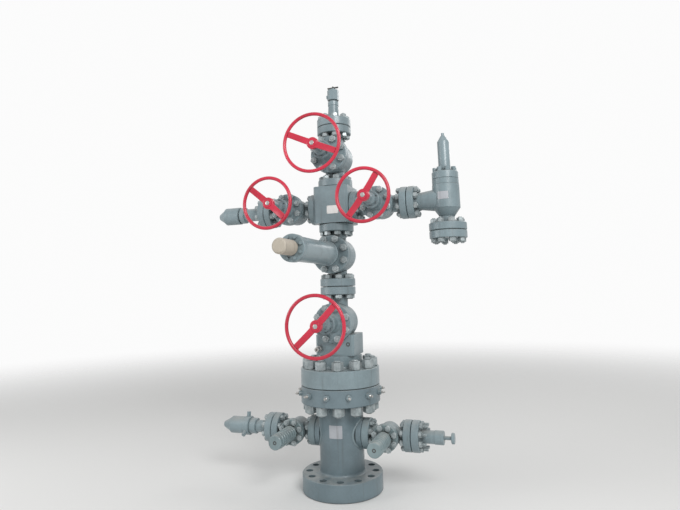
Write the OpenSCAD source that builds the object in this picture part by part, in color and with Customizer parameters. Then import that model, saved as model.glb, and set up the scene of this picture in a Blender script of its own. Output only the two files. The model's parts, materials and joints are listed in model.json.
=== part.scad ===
// Oil wellhead valve stack: a tubing head with two side outlets, a flanged adapter, a lower
// master valve, an actuated upper master valve, a cross with two wing valves, a swab valve and
// a tree cap. The well bore stands on +Z, the wing run lies on X and the handwheels face -Y.
// The origin is the centre of the bottom flange's face. All sizes are in millimetres.

/* [Tubing head] */
// Height of the tubing head from its lower to its upper flange face
head_h = 734; // [690:1:790]
// Outside diameter of the two large flanges of the tubing head, and of the adapter
head_flange_d = 584; // [570:1:610]
// Thickness of each large flange of the tubing head
head_flange_t = 122; // [110:1:130]
// Distance from the bolt circle of the large flanges to their rim
head_bolt_rim = 50.7; // [49:0.1:54]
// Number of bolts in a large flange
head_bolts = 12; // [10:1:14]
// Diameter of the bolt holes in the head's upper flange and in the adapter
head_hole_d = 50.8; // [49:0.1:54]
// Diameter of the bolt holes in the tubing head's lower flange
base_hole_d = 51.6; // [50.8:0.1:54]
// Diameter of the studs in a large flange
head_stud_d = 47; // [40:0.5:48]
// Width across the flats of the nuts of a large flange
head_nut_af = 74; // [68:1:80]
// Length of a large flange's stud that stands out of its nut
head_tail = 24; // [8:1:30]
// Outside diameter of the tubing head's body
head_body_d = 324; // [300:1:350]
// Radius of the rounded root where the tubing head's body meets its flanges
head_root_r = 18; // [10:1:22]
// Bore through the tubing head
head_bore_d = 228.6; // [200:0.1:250]
// Height of the side outlets above the lower face
outlet_z = 392; // [385:1:410]
// Distance from the well axis to the face of a side outlet
outlet_reach = 176; // [172:1:184]
// Thickness of the round boss of a side outlet
outlet_boss_t = 40; // [38:1:46]

/* [Lock-down screws] */
// Height of the screws below the upper flange face
lock_drop = 52; // [46:1:60]
// Diameter of the gland of a screw
lock_gland_d = 40; // [34:1:46]
// Length of the gland that stands out of the flange rim
lock_gland_l = 20; // [14:1:26]
// Length of the round part of the gland that stands out of the flange rim
lock_round_l = 8; // [5:1:12]
// Depth of the flat seat of a gland in the flange rim
lock_seat_depth = 8; // [6:1:12]
// Diameter of the screw
lock_pin_d = 19; // [14:1:22]
// Length of the screw that stands out of its gland
lock_pin_l = 30; // [20:1:44]

/* [Adapter] */
// Thickness of the adapter flange
adapter_t = 125; // [115:1:135]
// Diameter of the raised neck on the adapter flange
adapter_neck_d = 300; // [280:1:330]
// Height of the raised neck on the adapter flange
adapter_neck_h = 86; // [80:1:100]
// Radius of the rounded root of the adapter's neck
adapter_root_r = 14; // [8:1:20]

/* [Well run flanges] */
// Outside diameter of the flanges on the well run
run_flange_d = 268; // [262:1:276]
// Thickness of the flanges on the well run
run_flange_t = 60; // [52:1:66]
// Distance from the bolt circle to the rim of a flange on the well run
run_bolt_rim = 32.4; // [30:0.1:34]
// Diameter of the bolt holes on the well run
run_hole_d = 31.8; // [30:0.1:34]
// Diameter of the studs on the well run
run_stud_d = 28.6; // [25:0.1:29]
// Width across the flats of the nuts on the well run
run_nut_af = 46; // [42:1:48]
// Bore of the well run
run_bore_d = 79.4; // [60:0.1:85]
// Outside diameter of the valve necks on the well run
run_neck_d = 146; // [130:1:150]

/* [Well run heights] */
// Height of the lower master valve, from its block's foot to its flange face
master_h = 503; // [490:1:530]
// Width of the square foot block of the lower master valve
master_block_w = 296; // [280:1:310]
// Distance that the foot block stands behind the well axis
master_block_back = 140; // [132:1:148]
// Height of the square foot block of the lower master valve
master_block_h = 150; // [135:1:165]
// Chamfer of the upright edges of the foot block
master_block_edge = 16; // [10:1:20]
// Height of the lower master valve's stem above its foot
master_stem_z = 237; // [234:1:250]
// Height of the upper master valve between its flange faces
upper_h = 479; // [465:1:500]
// Height of the cross block
cross_h = 286; // [270:1:300]
// Width of the cross block
cross_w = 276; // [266:1:290]
// Chamfer of the upright edges of the cross block
cross_edge = 18; // [10:1:24]
// Height of the swab valve between its flange faces
swab_h = 491; // [475:1:510]

/* [Run valve bodies] */
// Diameter of the barrel that holds the gate of a run valve
run_barrel_d = 250; // [236:1:262]
// Distance that the barrel stands behind the well axis
run_barrel_back = 92; // [84:1:110]
// Diameter of the bonnet flanges of a run valve
run_bonnet_d = 286; // [278:1:294]
// Distance from the bolt circle to the rim of a run valve's bonnet flange
run_bonnet_rim = 24; // [22:1:27]
// Distance from the well axis to the front face of a run valve's bonnet flange
run_bonnet_y = 153; // [148:1:165]
// Thickness of each of the two bonnet flanges of a run valve
run_bonnet_t = 38; // [32:1:42]
// Diameter of the bonnet tube behind the bearing housing
run_bonnet_tube_d = 108; // [100:1:120]
// Distance from the well axis to a run handwheel's plane
run_wheel_y = 491; // [480:1:520]

/* [Bonnets with handwheels] */
// Length of a bonnet's tube in front of its flange
bonnet_tube_l = 119; // [112:1:126]
// Height of the cone at the foot of a bonnet's tube
bonnet_foot_h = 26; // [20:1:34]
// Width by which that cone is wider than the tube, on each side
bonnet_foot_w = 18; // [10:1:20]
// Width by which the gland flange is wider than the tube, on each side
gland_flange_w = 15; // [12:1:18]
// Thickness of the gland flange
gland_flange_t = 24; // [20:1:28]
// Number of bolts in the gland flange
gland_bolts = 6; // [4:1:8]
// Diameter of the heads of the gland flange's bolts
gland_bolt_d = 12; // [10:1:14]
// Height of the heads of the gland flange's bolts
gland_bolt_h = 10; // [8:1:13]
// Length of the wide part of the bearing housing
housing_l = 34; // [28:1:40]
// Width by which the bearing housing is narrower than the tube, on each side
housing_step = 4; // [2:1:6]
// Length of the housing's cone
housing_cone_l = 20; // [14:1:26]
// Width by which the housing's nose is narrower than the tube, on each side
housing_nose_step = 17; // [14:1:20]

/* [Wing run] */
// Outside diameter of the flanges on the wing run
wing_flange_d = 242; // [238:1:248]
// Thickness of the flanges on the wing run
wing_flange_t = 53; // [46:1:56]
// Distance from the bolt circle to the rim of a flange on the wing run
wing_bolt_rim = 25.75; // [24:0.05:27]
// Diameter of the bolt holes on the wing run
wing_hole_d = 28.6; // [27:0.1:30]
// Diameter of the studs on the wing run
wing_stud_d = 25.4; // [22:0.1:26]
// Width across the flats of the nuts on the wing run
wing_nut_af = 41; // [38:1:43]
// Bore of the wing run
wing_bore_d = 65.1; // [50:0.1:70]
// Outside diameter of the valve necks on the wing run
wing_neck_d = 130; // [116:1:134]
// Radius of the rounded root of the necks on the wing run
wing_root_r = 5; // [3:1:6]
// Length of a wing valve between its flange faces
wing_l = 440; // [420:1:460]
// Height of the wing run above the foot of the cross block
wing_rise = 128; // [126:1:142]
// Diameter of the barrel that holds the gate of a wing valve
wing_barrel_d = 206; // [190:1:216]
// Distance that the barrel of a wing valve stands behind the wing axis
wing_barrel_back = 84; // [76:1:100]
// Diameter of the bonnet flanges of a wing valve
wing_bonnet_d = 244; // [236:1:252]
// Distance from the bolt circle to the rim of a wing valve's bonnet flange
wing_bonnet_rim = 21; // [19:1:24]
// Distance from the wing axis to the front face of a wing valve's bonnet flange
wing_bonnet_y = 138; // [132:1:150]
// Thickness of each of the two bonnet flanges of a wing valve
wing_bonnet_t = 32; // [28:1:38]
// Diameter of a wing valve's bonnet tube
wing_bonnet_tube_d = 96; // [88:1:106]
// Distance from the wing axis to a wing handwheel's plane
wing_wheel_y = 477; // [465:1:500]

/* [Side outlet valves] */
// Outside diameter of the flanges of a side valve
side_flange_d = 214; // [208:1:220]
// Thickness of the flanges of a side valve
side_flange_t = 54; // [48:1:58]
// Distance from the bolt circle to the rim of a flange of a side valve
side_bolt_rim = 24.45; // [23:0.05:26]
// Diameter of the bolt holes of a side valve
side_hole_d = 25.4; // [24:0.1:27]
// Diameter of the studs of a side valve
side_stud_d = 22.2; // [19:0.1:23]
// Width across the flats of the nuts of a side valve
side_nut_af = 36; // [32:1:38]
// Bore of a side outlet
side_bore_d = 52.4; // [40:0.1:58]
// Outside diameter of the necks of a side valve
side_neck_d = 110; // [100:1:116]
// Radius of the rounded root of the necks of a side valve
side_root_r = 5; // [3:1:6]
// Length of a side valve between its flange faces
side_l = 355; // [350:1:370]
// Diameter of the barrel that holds the gate of a side valve
side_barrel_d = 150; // [140:1:160]
// Distance that the barrel of a side valve stands behind its axis
side_barrel_back = 76; // [68:1:90]
// Diameter of the bonnet flanges of a side valve
side_bonnet_d = 184; // [176:1:190]
// Distance from the bolt circle to the rim of a side valve's bonnet flange
side_bonnet_rim = 16; // [15:0.5:19]
// Distance from a side valve's axis to the front face of its bonnet flange
side_bonnet_y = 118; // [112:1:126]
// Thickness of each of the two bonnet flanges of a side valve
side_bonnet_t = 26; // [22:1:30]
// Diameter of the ribbed stem housing of a side valve
side_housing_d = 104; // [98:1:110]
// Distance from a side valve's axis to the tip of its stem housing
side_housing_y = 392; // [370:1:400]
// Number of ribs round a side valve's stem housing
side_ribs = 7; // [5:1:9]
// Height of a rib above the housing's tube
side_rib_h = 4; // [3:1:6]
// Thickness of a rib
side_rib_t = 18; // [14:1:20]
// Distance from the bonnet flange to the first rib
side_rib_start = 20; // [16:1:26]
// Thickness of the round end piece of a side valve's stem housing
side_end_t = 24; // [18:1:30]
// Diameter of the round end piece of a side valve's stem housing
side_end_d = 98; // [90:1:104]

/* [Handwheels] */
// Outside diameter of the two run handwheels
run_wheel_d = 440; // [410:1:460]
// Outside diameter of the two wing handwheels
wing_wheel_d = 391; // [360:1:400]
// Diameter of the round rim bar
rim_d = 25; // [20:1:30]
// Width of the flat spoke bar
spoke_w = 47; // [36:1:54]
// Thickness of the flat spoke bar
spoke_t = 13; // [10:1:18]
// Length by which the flat middle of the spoke bar reaches out of the hub
spoke_flat = 18; // [12:1:26]
// Distance that the hub and the middle of the spoke bar stand behind the rim
spoke_dish = 16; // [0:1:24]
// Diameter of a handwheel hub
hub_d = 86; // [76:1:96]
// Length of a handwheel hub
hub_l = 46; // [38:1:56]
// Gap between a handwheel hub and the bearing housing behind it
hub_gap = 16; // [12:1:20]
// Diameter of the washer that holds a handwheel on its stem
stem_cap_d = 58; // [52:1:66]
// Thickness of the washer that holds a handwheel on its stem
stem_cap_t = 8; // [6:1:12]
// Diameter of a valve stem
stem_d = 32; // [26:0.5:36]
// Radial clearance of a stem in its bonnet
stem_clear = 0.05; // [0.02:0.01:0.1]
// Turn of the lower master handwheel, seen from the front
master_wheel_turn = 44; // [0:1:180]
// Turn of the swab handwheel, seen from the front
swab_wheel_turn = 156; // [0:1:180]
// Turn of the right wing handwheel, seen from the front
right_wheel_turn = 54; // [0:1:180]
// Turn of the left wing handwheel, seen from the front
left_wheel_turn = 139; // [0:1:180]

/* [Actuator] */
// Diameter of the actuator cylinder
act_d = 164; // [150:1:168]
// Distance from the well axis to the back of the actuator cylinder
act_back_y = 226; // [218:1:240]
// Distance from the well axis to the front of the actuator cylinder
act_front_y = 822; // [780:1:850]
// Diameter of the actuator's end flanges
act_flange_d = 178; // [176:1:190]
// Thickness of each end flange of the actuator
act_flange_t = 22; // [18:1:28]
// Thickness of the actuator's end cap
act_cap_t = 32; // [26:1:40]
// Width across the corners of the bolt heads on the end cap
act_bolt_d = 24; // [18:1:26]
// Height of the bolt heads on the end cap
act_bolt_h = 14; // [10:1:18]
// Diameter of the cover over the actuator's rod
act_cover_d = 98; // [86:1:104]
// Length of the cover over the actuator's rod
act_cover_l = 180; // [150:1:200]
// Chamfer at both ends of the cover over the actuator's rod
act_cover_edge = 10; // [6:1:14]

/* [Tree cap] */
// Thickness of the tree cap flange
cap_t = 66; // [56:1:72]
// Depth of the blind bore in the tree cap
cap_bore_l = 32; // [24:1:44]
// Diameter of the tree cap's neck at its foot
cap_neck_low_d = 94; // [88:1:110]
// Diameter of the tree cap's neck at its top
cap_neck_top_d = 76; // [72:1:84]
// Height of the tree cap's neck above its flange
cap_neck_h = 154; // [140:1:175]
// Diameter of the ring round the top of the tree cap's neck
cap_ring_d = 86; // [84:1:90]
// Height of the ring round the top of the tree cap's neck
cap_ring_h = 34; // [24:1:44]
// Width across the flats of the needle valve's block
needle_af = 86; // [76:1:92]
// Height of the needle valve's block
needle_h = 98; // [86:1:108]
// Diameter of the turned foot under the needle valve's block
needle_foot_d = 58; // [50:1:66]
// Height of the turned foot under the needle valve's block
needle_foot_h = 14; // [10:1:18]
// Diameter of the boss round the needle valve's stem
needle_boss_d = 40; // [34:1:46]
// Height of the boss round the needle valve's stem
needle_boss_h = 14; // [10:1:16]
// Width across the corners of the needle valve's side plug
needle_port_d = 34; // [28:1:40]
// Length of the needle valve's side plug that stands out of its block
needle_port_l = 10; // [6:1:24]
// Height of the handle bar's axis above the needle valve's block
needle_bar_rise = 24; // [22:1:30]
// Diameter of the needle valve's handle bar
needle_bar_d = 13; // [10:1:16]
// Length of the needle valve's stem above the handle bar's axis
needle_stem_tip = 12; // [9:1:18]
// Length of the needle valve's handle bar
needle_bar_l = 92; // [84:1:110]
// Diameter of the needle valve's stem
needle_stem_d = 14; // [10:0.5:18]

/* [Choke] */
// Distance from the face of the right wing valve to the choke axis
choke_offset = 279; // [275:1:290]
// Diameter of the choke body
choke_d = 196; // [190:1:204]
// Height of the choke body above the wing axis
choke_up = 148; // [140:1:160]
// Depth of the choke body below the wing axis
choke_down = 70; // [64:1:80]
// Thickness of the ring round the top of the choke body
choke_ring_t = 40; // [34:1:46]
// Diameter of the choke's top flange and of the ring under it
choke_ring_d = 192; // [186:1:198]
// Thickness of the choke's top flange
choke_top_t = 54; // [48:1:62]
// Height of the cone under the choke body
choke_cone_h = 58; // [50:1:66]
// Length of the straight neck between the choke's inlet flange and its taper
choke_inlet_l = 40; // [30:1:50]
// Diameter of the choke's inlet taper where it meets the body
choke_inlet_d = 166; // [156:1:176]
// Distance from the choke's axis to the wide end of its inlet taper
choke_inlet_end = 60; // [54:1:66]
// Diameter of the choke's lower neck
choke_neck_d = 106; // [98:1:114]
// Length of the choke's lower neck
choke_neck_h = 46; // [44:1:60]
// Radius of the rounded root of the choke's lower neck
choke_root_r = 10; // [6:1:14]
// Outside diameter of the choke's outlet flanges
choke_flange_d = 270; // [262:1:280]
// Thickness of each of the choke's outlet flanges
choke_flange_t = 56; // [52:1:62]
// Distance from the bolt circle to the rim of the choke's outlet flanges
choke_bolt_rim = 33.4; // [31:0.1:36]
// Diameter of the choke's spindle housing
choke_housing_d = 87; // [80:1:92]
// Length of the choke's spindle housing
choke_housing_l = 232; // [210:1:250]
// Length of the cone on the choke's spindle housing
choke_nose_l = 45; // [36:1:56]
// Diameter of the top of the cone on the choke's spindle housing
choke_nose_d = 34; // [28:1:40]
// Diameter of the choke's spindle
choke_spindle_d = 22; // [18:1:26]
// Length of the choke's spindle above its housing
choke_spindle_l = 22; // [16:1:30]
// Width across the corners of the nuts on the choke's top flange
choke_nut_d = 38; // [34:1:42]
// Height of the nuts on the choke's top flange
choke_nut_h = 32; // [24:1:36]

/* [End fittings] */
// Diameter of the left wing's bull plug
wing_plug_d = 142; // [136:1:150]
// Length of the straight part of the left wing's bull plug
wing_plug_l = 134; // [120:1:146]
// Length of the cone of the left wing's bull plug
wing_plug_cone = 64; // [54:1:76]
// Diameter of the left wing plug's tip
wing_plug_tip_d = 52; // [44:1:64]
// Diameter of the waist behind the left wing's bull plug
wing_waist_d = 104; // [98:1:110]
// Length of the waist between the flange and the ring of the left wing's bull plug
wing_waist_l = 158; // [148:1:168]
// Diameter of the ring behind the left wing's bull plug
wing_ring_d = 132; // [126:1:136]
// Thickness of the ring behind the left wing's bull plug
wing_ring_t = 40; // [32:1:48]
// Gap between the ring and the left wing's bull plug
wing_ring_gap = 10; // [6:1:14]
// Depth of the bore behind the companion flange of the left wing's bull plug
wing_plug_bore_l = 47; // [40:1:60]
// Diameter of the left side outlet's plug
side_plug_d = 125; // [116:1:134]
// Length of the straight part of the left side outlet's plug
side_plug_l = 124; // [100:1:140]
// Length of the cone of the left side outlet's plug
side_plug_cone = 72; // [60:1:84]
// Diameter of the left side plug's tip
side_plug_tip_d = 44; // [36:1:56]
// Diameter of the necks behind the end flanges of the side outlets
side_waist_d = 88; // [82:1:94]
// Radius of the rounded root of the necks at the ends of both runs
waist_root_r = 9; // [6:1:12]
// Depth of the bore behind the end flanges of the side outlets
side_end_bore_l = 26; // [20:1:40]
// Diameter of the left side outlet's union nut
union_nut_d = 139; // [134:1:146]
// Thickness of the left side outlet's union nut
union_nut_t = 46; // [40:1:52]
// Diameter of a lug on the union nut
lug_d = 30; // [24:1:34]
// Length of each lug on the left side outlet's union nut
lug_l = 40; // [30:1:48]
// Length of the neck between the left side outlet's flange and its union nut
union_neck_l = 161; // [150:1:172]
// Diameter of the collar behind the left side outlet's union nut
union_collar_d = 114; // [108:1:120]
// Length of the collar behind the left side outlet's union nut
union_collar_l = 55; // [44:1:66]
// Diameter of the right side outlet's plug
stub_plug_d = 94; // [92:1:102]
// Length of the right side outlet's plug
stub_plug_l = 66; // [58:1:74]
// Length of the neck between the right side outlet's flange and its plug
stub_neck_l = 98; // [90:1:106]
// Width across the corners of the right side plug's stem
stub_stem_d = 26; // [20:1:32]
// Length of the right side plug's stem
stub_stem_l = 50; // [44:1:56]
// Thickness of the round end of the right side outlet's plug
stub_end_t = 22; // [16:1:26]
// Diameter of the round end of the right side outlet's plug
stub_end_d = 74; // [66:1:82]

/* [Hidden] */
$fn = 96;

// Height of the raised face on a flange, which leaves a groove round each joint
raise = 2;
// Distance from a flange's raised face to the edge of its bolt holes
face_margin = 3;
// Gap between two seated pieces that are not face to face
seat = 0.3;
// Edge chamfer of the machined flanges
edge = 4;
// Edge chamfer of the smaller turned parts
fine_edge = 2;
// Edge chamfer at the back of a gate barrel
barrel_edge = 10;
// Studs in each flange of the runs, the bonnets and the side valves
small_bolts = 8;
// Length of a stud that stands out of its nut
tail = 8;
// Depth to which a stud screws into a block
screw_in = 34;
// Segments in the profile of a rounded root
root_steps = 5;
// Depth by which joined shapes run into each other
bite = 1;

// One lock-down screw stands between each pair of bolts
lock_screws = head_bolts;
head_pcd = head_flange_d - 2 * head_bolt_rim;
run_pcd = run_flange_d - 2 * run_bolt_rim;
run_bonnet_pcd = run_bonnet_d - 2 * run_bonnet_rim;
wing_pcd = wing_flange_d - 2 * wing_bolt_rim;
wing_bonnet_pcd = wing_bonnet_d - 2 * wing_bonnet_rim;
side_pcd = side_flange_d - 2 * side_bolt_rim;
side_bonnet_pcd = side_bonnet_d - 2 * side_bonnet_rim;
choke_pcd = choke_flange_d - 2 * choke_bolt_rim;
adapter_z = head_h;
master_z = adapter_z + adapter_t + adapter_neck_h;
upper_z = master_z + master_h;
cross_z = upper_z + upper_h;
swab_z = cross_z + cross_h;
cap_z = swab_z + swab_h;
wing_z = cross_z + wing_rise;
master_axis_z = master_z + master_stem_z;
upper_axis_z = upper_z + upper_h / 2;
swab_axis_z = swab_z + swab_h / 2;
wing_x = cross_w / 2 + wing_l / 2;
wing_end_x = cross_w / 2 + wing_l;
side_x = outlet_reach + side_l / 2;
side_end_x = outlet_reach + side_l;
choke_x = wing_end_x + choke_offset;
// The wing studs in the cross end just beside the studs of the well run
wing_screw_in = (cross_w - run_pcd * cos(180 / small_bolts) - run_stud_d) / 2 - fine_edge;
choke_foot_z = wing_z - choke_down - choke_cone_h - choke_neck_h;
choke_joint_z = choke_foot_z - choke_flange_t;
run_grip = 2 * run_flange_t;
wing_grip = 2 * wing_flange_t;
side_grip = 2 * side_flange_t;
head_grip = head_flange_t + adapter_t;
needle_z = cap_z + cap_t + cap_neck_h;

paint = "#7f9a98";
wheel_red = "#e0304a";
steel = "#b9bfc0";
cover_white = "#dcd9d2";

// Puts copies of the children on a bolt circle that straddles the centre lines
module bolt_circle(pcd, n) {
    for (i = [0:n - 1])
        rotate([0, 0, (i + 0.5) * 360 / n])
            translate([pcd / 2, 0, 0])
                children();
}

// Turns the children from the Z axis on to +X
module along_x() {
    rotate([0, 90, 0]) children();
}

// Turns the children from the Z axis on to -Y, which is the front
module along_front() {
    rotate([90, 0, 0]) children();
}

// Round disc with chamfered edges, from z = 0 to t
module disc(d, t, c = edge) {
    rotate_extrude()
        polygon([[0, 0], [d / 2 - c, 0], [d / 2, c], [d / 2, t - c], [d / 2 - c, t], [0, t]]);
}

// Flange with its raised face at z = 0 and its back at z = t, with no bore or holes
module flange_blank(d, t, face_d) {
    cylinder(d = face_d, h = t);
    translate([0, 0, raise]) disc(d, t - raise);
}

// Rounded root of radius r for a neck of diameter d that stands on a face at z = 0
module root(d, r) {
    rotate_extrude()
        polygon(concat([[d / 2 - bite, -bite], [d / 2 + r, -bite]],
            [for (i = [0:root_steps])
                let (a = 270 - 90 * i / root_steps)
                    [d / 2 + r + r * cos(a), r + r * sin(a)]],
            [[d / 2 - bite, r]]));
}

// Ring of through holes for a flange of thickness t
module flange_holes(pcd, n, hole_d, t) {
    translate([0, 0, -bite])
        bolt_circle(pcd, n)
            cylinder(d = hole_d, h = t + 2 * bite, $fn = 32);
}

// Diameter of a flange's raised face, just inside its bolt holes
function face_of(pcd, hole_d) = pcd - hole_d - 2 * face_margin;

// Stud through a joint from z = 0 to grip, with a nut at each end and out beyond each nut
module stud(d, af, grip, out = tail) {
    translate([0, 0, -d - out]) cylinder(d = d, h = grip + 2 * (d + out), $fn = 32);
    for (z = [-d, grip])
        translate([0, 0, z])
            rotate([0, 0, 30])
                cylinder(d = af / cos(30), h = d, $fn = 6);
}

// Depth to which a stud screws into a bonnet's lower flange of thickness t without piercing it
function thread_depth(t) = min(screw_in, t - edge);

// Stud screwed into a block below z = 0, with a nut on the flange of thickness grip
module block_stud(d, af, grip, depth = screw_in) {
    translate([0, 0, -depth]) cylinder(d = d, h = grip + depth + d + tail, $fn = 32);
    translate([0, 0, grip])
        rotate([0, 0, 30])
            cylinder(d = af / cos(30), h = d, $fn = 6);
}

// Tapped holes in a block's face at z = 0, a little wider and deeper than their studs
module block_holes(pcd, d, depth = screw_in) {
    translate([0, 0, -depth - seat])
        bolt_circle(pcd, small_bolts)
            cylinder(d = d + 2 * seat, h = depth + seat + bite, $fn = 32);
}

// Block with chamfered upright edges, w wide, from y = -front to y = back and z = 0 to h
module chamfered_block(w, front, back, h, c) {
    x = w / 2;
    linear_extrude(height = h)
        polygon([[-x + c, -front], [x - c, -front], [x, -front + c], [x, back - c],
            [x - c, back], [-x + c, back], [-x, back - c], [-x, -front + c]]);
}

// Gate valve barrel on the -Y axis with its bonnet flange, centred on the origin
module barrel(d, back, bonnet_d, bonnet_y, bonnet_t) {
    along_front() {
        translate([0, 0, -back]) disc(d, back + bonnet_y - 1.5 * bonnet_t, barrel_edge);
        translate([0, 0, bonnet_y - 2 * bonnet_t]) disc(bonnet_d, bonnet_t);
    }
}

// Tapped holes for the bonnet studs in the body of a valve centred on the origin
module bonnet_holes(pcd, d, bonnet_y, bonnet_t) {
    along_front()
        translate([0, 0, bonnet_y - bonnet_t])
            block_holes(pcd, d, thread_depth(bonnet_t));
}

// Valve body with two equal flanges, the bore on Z, from -l/2 to l/2
module flanged_valve(l, flange_d, flange_t, neck_d, pcd, hole_d, bore_d, root_r = 0) {
    difference() {
        union() {
            for (m = [0, 1])
                mirror([0, 0, m])
                    translate([0, 0, -l / 2]) {
                        flange_blank(flange_d, flange_t, face_of(pcd, hole_d));
                        if (root_r > 0)
                            translate([0, 0, flange_t]) root(neck_d, root_r);
                    }
            cylinder(d = neck_d, h = l - 2 * flange_t + 2 * bite, center = true);
            children();
        }
        cylinder(d = bore_d, h = l + 2 * bite, center = true);
        for (m = [0, 1])
            mirror([0, 0, m])
                translate([0, 0, -l / 2])
                    flange_holes(pcd, small_bolts, hole_d, flange_t);
    }
}

module run_barrel() {
    barrel(run_barrel_d, run_barrel_back, run_bonnet_d, run_bonnet_y, run_bonnet_t);
}

module wing_barrel() {
    barrel(wing_barrel_d, wing_barrel_back, wing_bonnet_d, wing_bonnet_y, wing_bonnet_t);
}

module side_barrel() {
    barrel(side_barrel_d, side_barrel_back, side_bonnet_d, side_bonnet_y, side_bonnet_t);
}

// Front end of the bearing housing behind a handwheel whose plane is at wheel_y
function housing_end(wheel_y) = wheel_y - spoke_dish - hub_l / 2 - hub_gap;

// Bonnet flange, tube, gland flange and bearing housing along -Y, with a bore for the stem
module bonnet(flange_d, pcd, hole_d, y, t, tube_d, wheel_y) {
    gland_y = y + bonnet_tube_l;
    gland_front = gland_y + gland_flange_t;
    housing_d = tube_d - 2 * housing_step;
    nose_d = tube_d - 2 * housing_nose_step;
    nose_y = gland_front + housing_l + housing_cone_l;
    along_front()
        difference() {
            union() {
                translate([0, 0, y - t]) disc(flange_d, t);
                translate([0, 0, y])
                    cylinder(d1 = tube_d + 2 * bonnet_foot_w, d2 = tube_d, h = bonnet_foot_h);
                translate([0, 0, y - bite]) cylinder(d = tube_d, h = bonnet_tube_l + 2 * bite);
                translate([0, 0, gland_y]) disc(tube_d + 2 * gland_flange_w, gland_flange_t);
                translate([0, 0, gland_front - bite]) cylinder(d = housing_d, h = housing_l + bite);
                translate([0, 0, gland_front + housing_l])
                    cylinder(d1 = housing_d, d2 = nose_d, h = housing_cone_l);
                translate([0, 0, nose_y - bite])
                    disc(nose_d, housing_end(wheel_y) - nose_y + bite, fine_edge);
                translate([0, 0, gland_front - bite])
                    bolt_circle(tube_d + gland_flange_w - housing_step, gland_bolts)
                        cylinder(d = gland_bolt_d, h = gland_bolt_h + bite, $fn = 6);
            }
            translate([0, 0, y - t - bite])
                flange_holes(pcd, small_bolts, hole_d, t + bite);
            translate([0, 0, gland_y])
                cylinder(d = stem_d + 2 * stem_clear, h = housing_end(wheel_y) - gland_y + bite);
        }
}

// Stem from inside the bonnet's gland to the front of the hub, with the washer that holds it
module stem(y, wheel_y) {
    gland_y = y + bonnet_tube_l;
    hub_face = wheel_y - spoke_dish + hub_l / 2;
    along_front() {
        translate([0, 0, gland_y + seat]) cylinder(d = stem_d, h = hub_face - gland_y + bite);
        translate([0, 0, hub_face + seat]) disc(stem_cap_d, stem_cap_t, fine_edge);
    }
}

// Handwheel in the plane y = -wheel_y: round rim, one flat dished spoke bar and a hub
module handwheel(d, wheel_y, turn) {
    rim_r = (d - rim_d) / 2;
    reach = rim_r - rim_d / 4;
    flat = hub_d / 2 + spoke_flat;
    along_front()
        translate([0, 0, wheel_y])
            rotate([0, 0, turn])
                difference() {
                    union() {
                        rotate_extrude()
                            translate([rim_r, 0]) circle(d = rim_d, $fn = 48);
                        rotate([90, 0, 0])
                            linear_extrude(height = spoke_w, center = true)
                                polygon([[-reach, -spoke_t / 2], [-flat, -spoke_dish - spoke_t / 2],
                                    [flat, -spoke_dish - spoke_t / 2], [reach, -spoke_t / 2],
                                    [reach, spoke_t / 2], [flat, -spoke_dish + spoke_t / 2],
                                    [-flat, -spoke_dish + spoke_t / 2], [-reach, spoke_t / 2]]);
                        translate([0, 0, -spoke_dish - hub_l / 2]) disc(hub_d, hub_l);
                    }
                    cylinder(d = stem_d + 2 * seat, h = 4 * hub_l, center = true);
                }
}

module tubing_head_spool() {
    color(paint)
        difference() {
            union() {
                flange_blank(head_flange_d, head_flange_t, face_of(head_pcd, base_hole_d));
                translate([0, 0, head_h])
                    mirror([0, 0, 1])
                        flange_blank(head_flange_d, head_flange_t,
                            face_of(head_pcd, head_hole_d));
                cylinder(d = head_body_d, h = head_h);
                translate([0, 0, head_flange_t]) root(head_body_d, head_root_r);
                translate([0, 0, head_h - head_flange_t])
                    mirror([0, 0, 1]) root(head_body_d, head_root_r);
                translate([0, 0, outlet_z])
                    for (side = [0, 1])
                        mirror([side, 0, 0])
                            along_x() {
                                cylinder(d = side_neck_d, h = outlet_reach);
                                translate([0, 0, outlet_reach - outlet_boss_t])
                                    disc(side_flange_d, outlet_boss_t);
                            }
            }
            translate([0, 0, -bite]) cylinder(d = head_bore_d, h = head_h + 2 * bite);
            translate([0, 0, outlet_z])
                along_x()
                    cylinder(d = side_bore_d, h = 2 * (outlet_reach + bite), center = true);
            flange_holes(head_pcd, head_bolts, base_hole_d, head_flange_t);
            translate([0, 0, head_h - head_flange_t])
                flange_holes(head_pcd, head_bolts, head_hole_d, head_flange_t);
            lock_seats();
            for (side = [0, 1])
                mirror([side, 0, 0])
                    translate([outlet_reach, 0, outlet_z])
                        along_x()
                            block_holes(side_pcd, side_stud_d);
        }
}

// Flat-bottomed pockets in the upper flange's rim for the lock-down screws
module lock_seats() {
    for (i = [0:lock_screws - 1])
        rotate([0, 0, i * 360 / lock_screws])
            translate([head_flange_d / 2 - lock_seat_depth, 0, head_h - lock_drop])
                along_x()
                    cylinder(d = lock_gland_d + 2 * seat, h = head_flange_d, $fn = 32);
}

module lock_down_screws() {
    color(steel)
        for (i = [0:lock_screws - 1])
            rotate([0, 0, i * 360 / lock_screws])
                translate([head_flange_d / 2 - lock_seat_depth, 0, head_h - lock_drop])
                    along_x() {
                        cylinder(d = lock_gland_d, h = lock_seat_depth + lock_round_l, $fn = 32);
                        cylinder(d = lock_gland_d, h = lock_seat_depth + lock_gland_l, $fn = 6);
                        cylinder(d = lock_pin_d,
                            h = lock_seat_depth + lock_gland_l + lock_pin_l, $fn = 32);
                    }
}

module head_flange_studs() {
    color(steel)
        translate([0, 0, head_h - head_flange_t])
            bolt_circle(head_pcd, head_bolts)
                stud(head_stud_d, head_nut_af, head_grip, head_tail);
}

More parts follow.
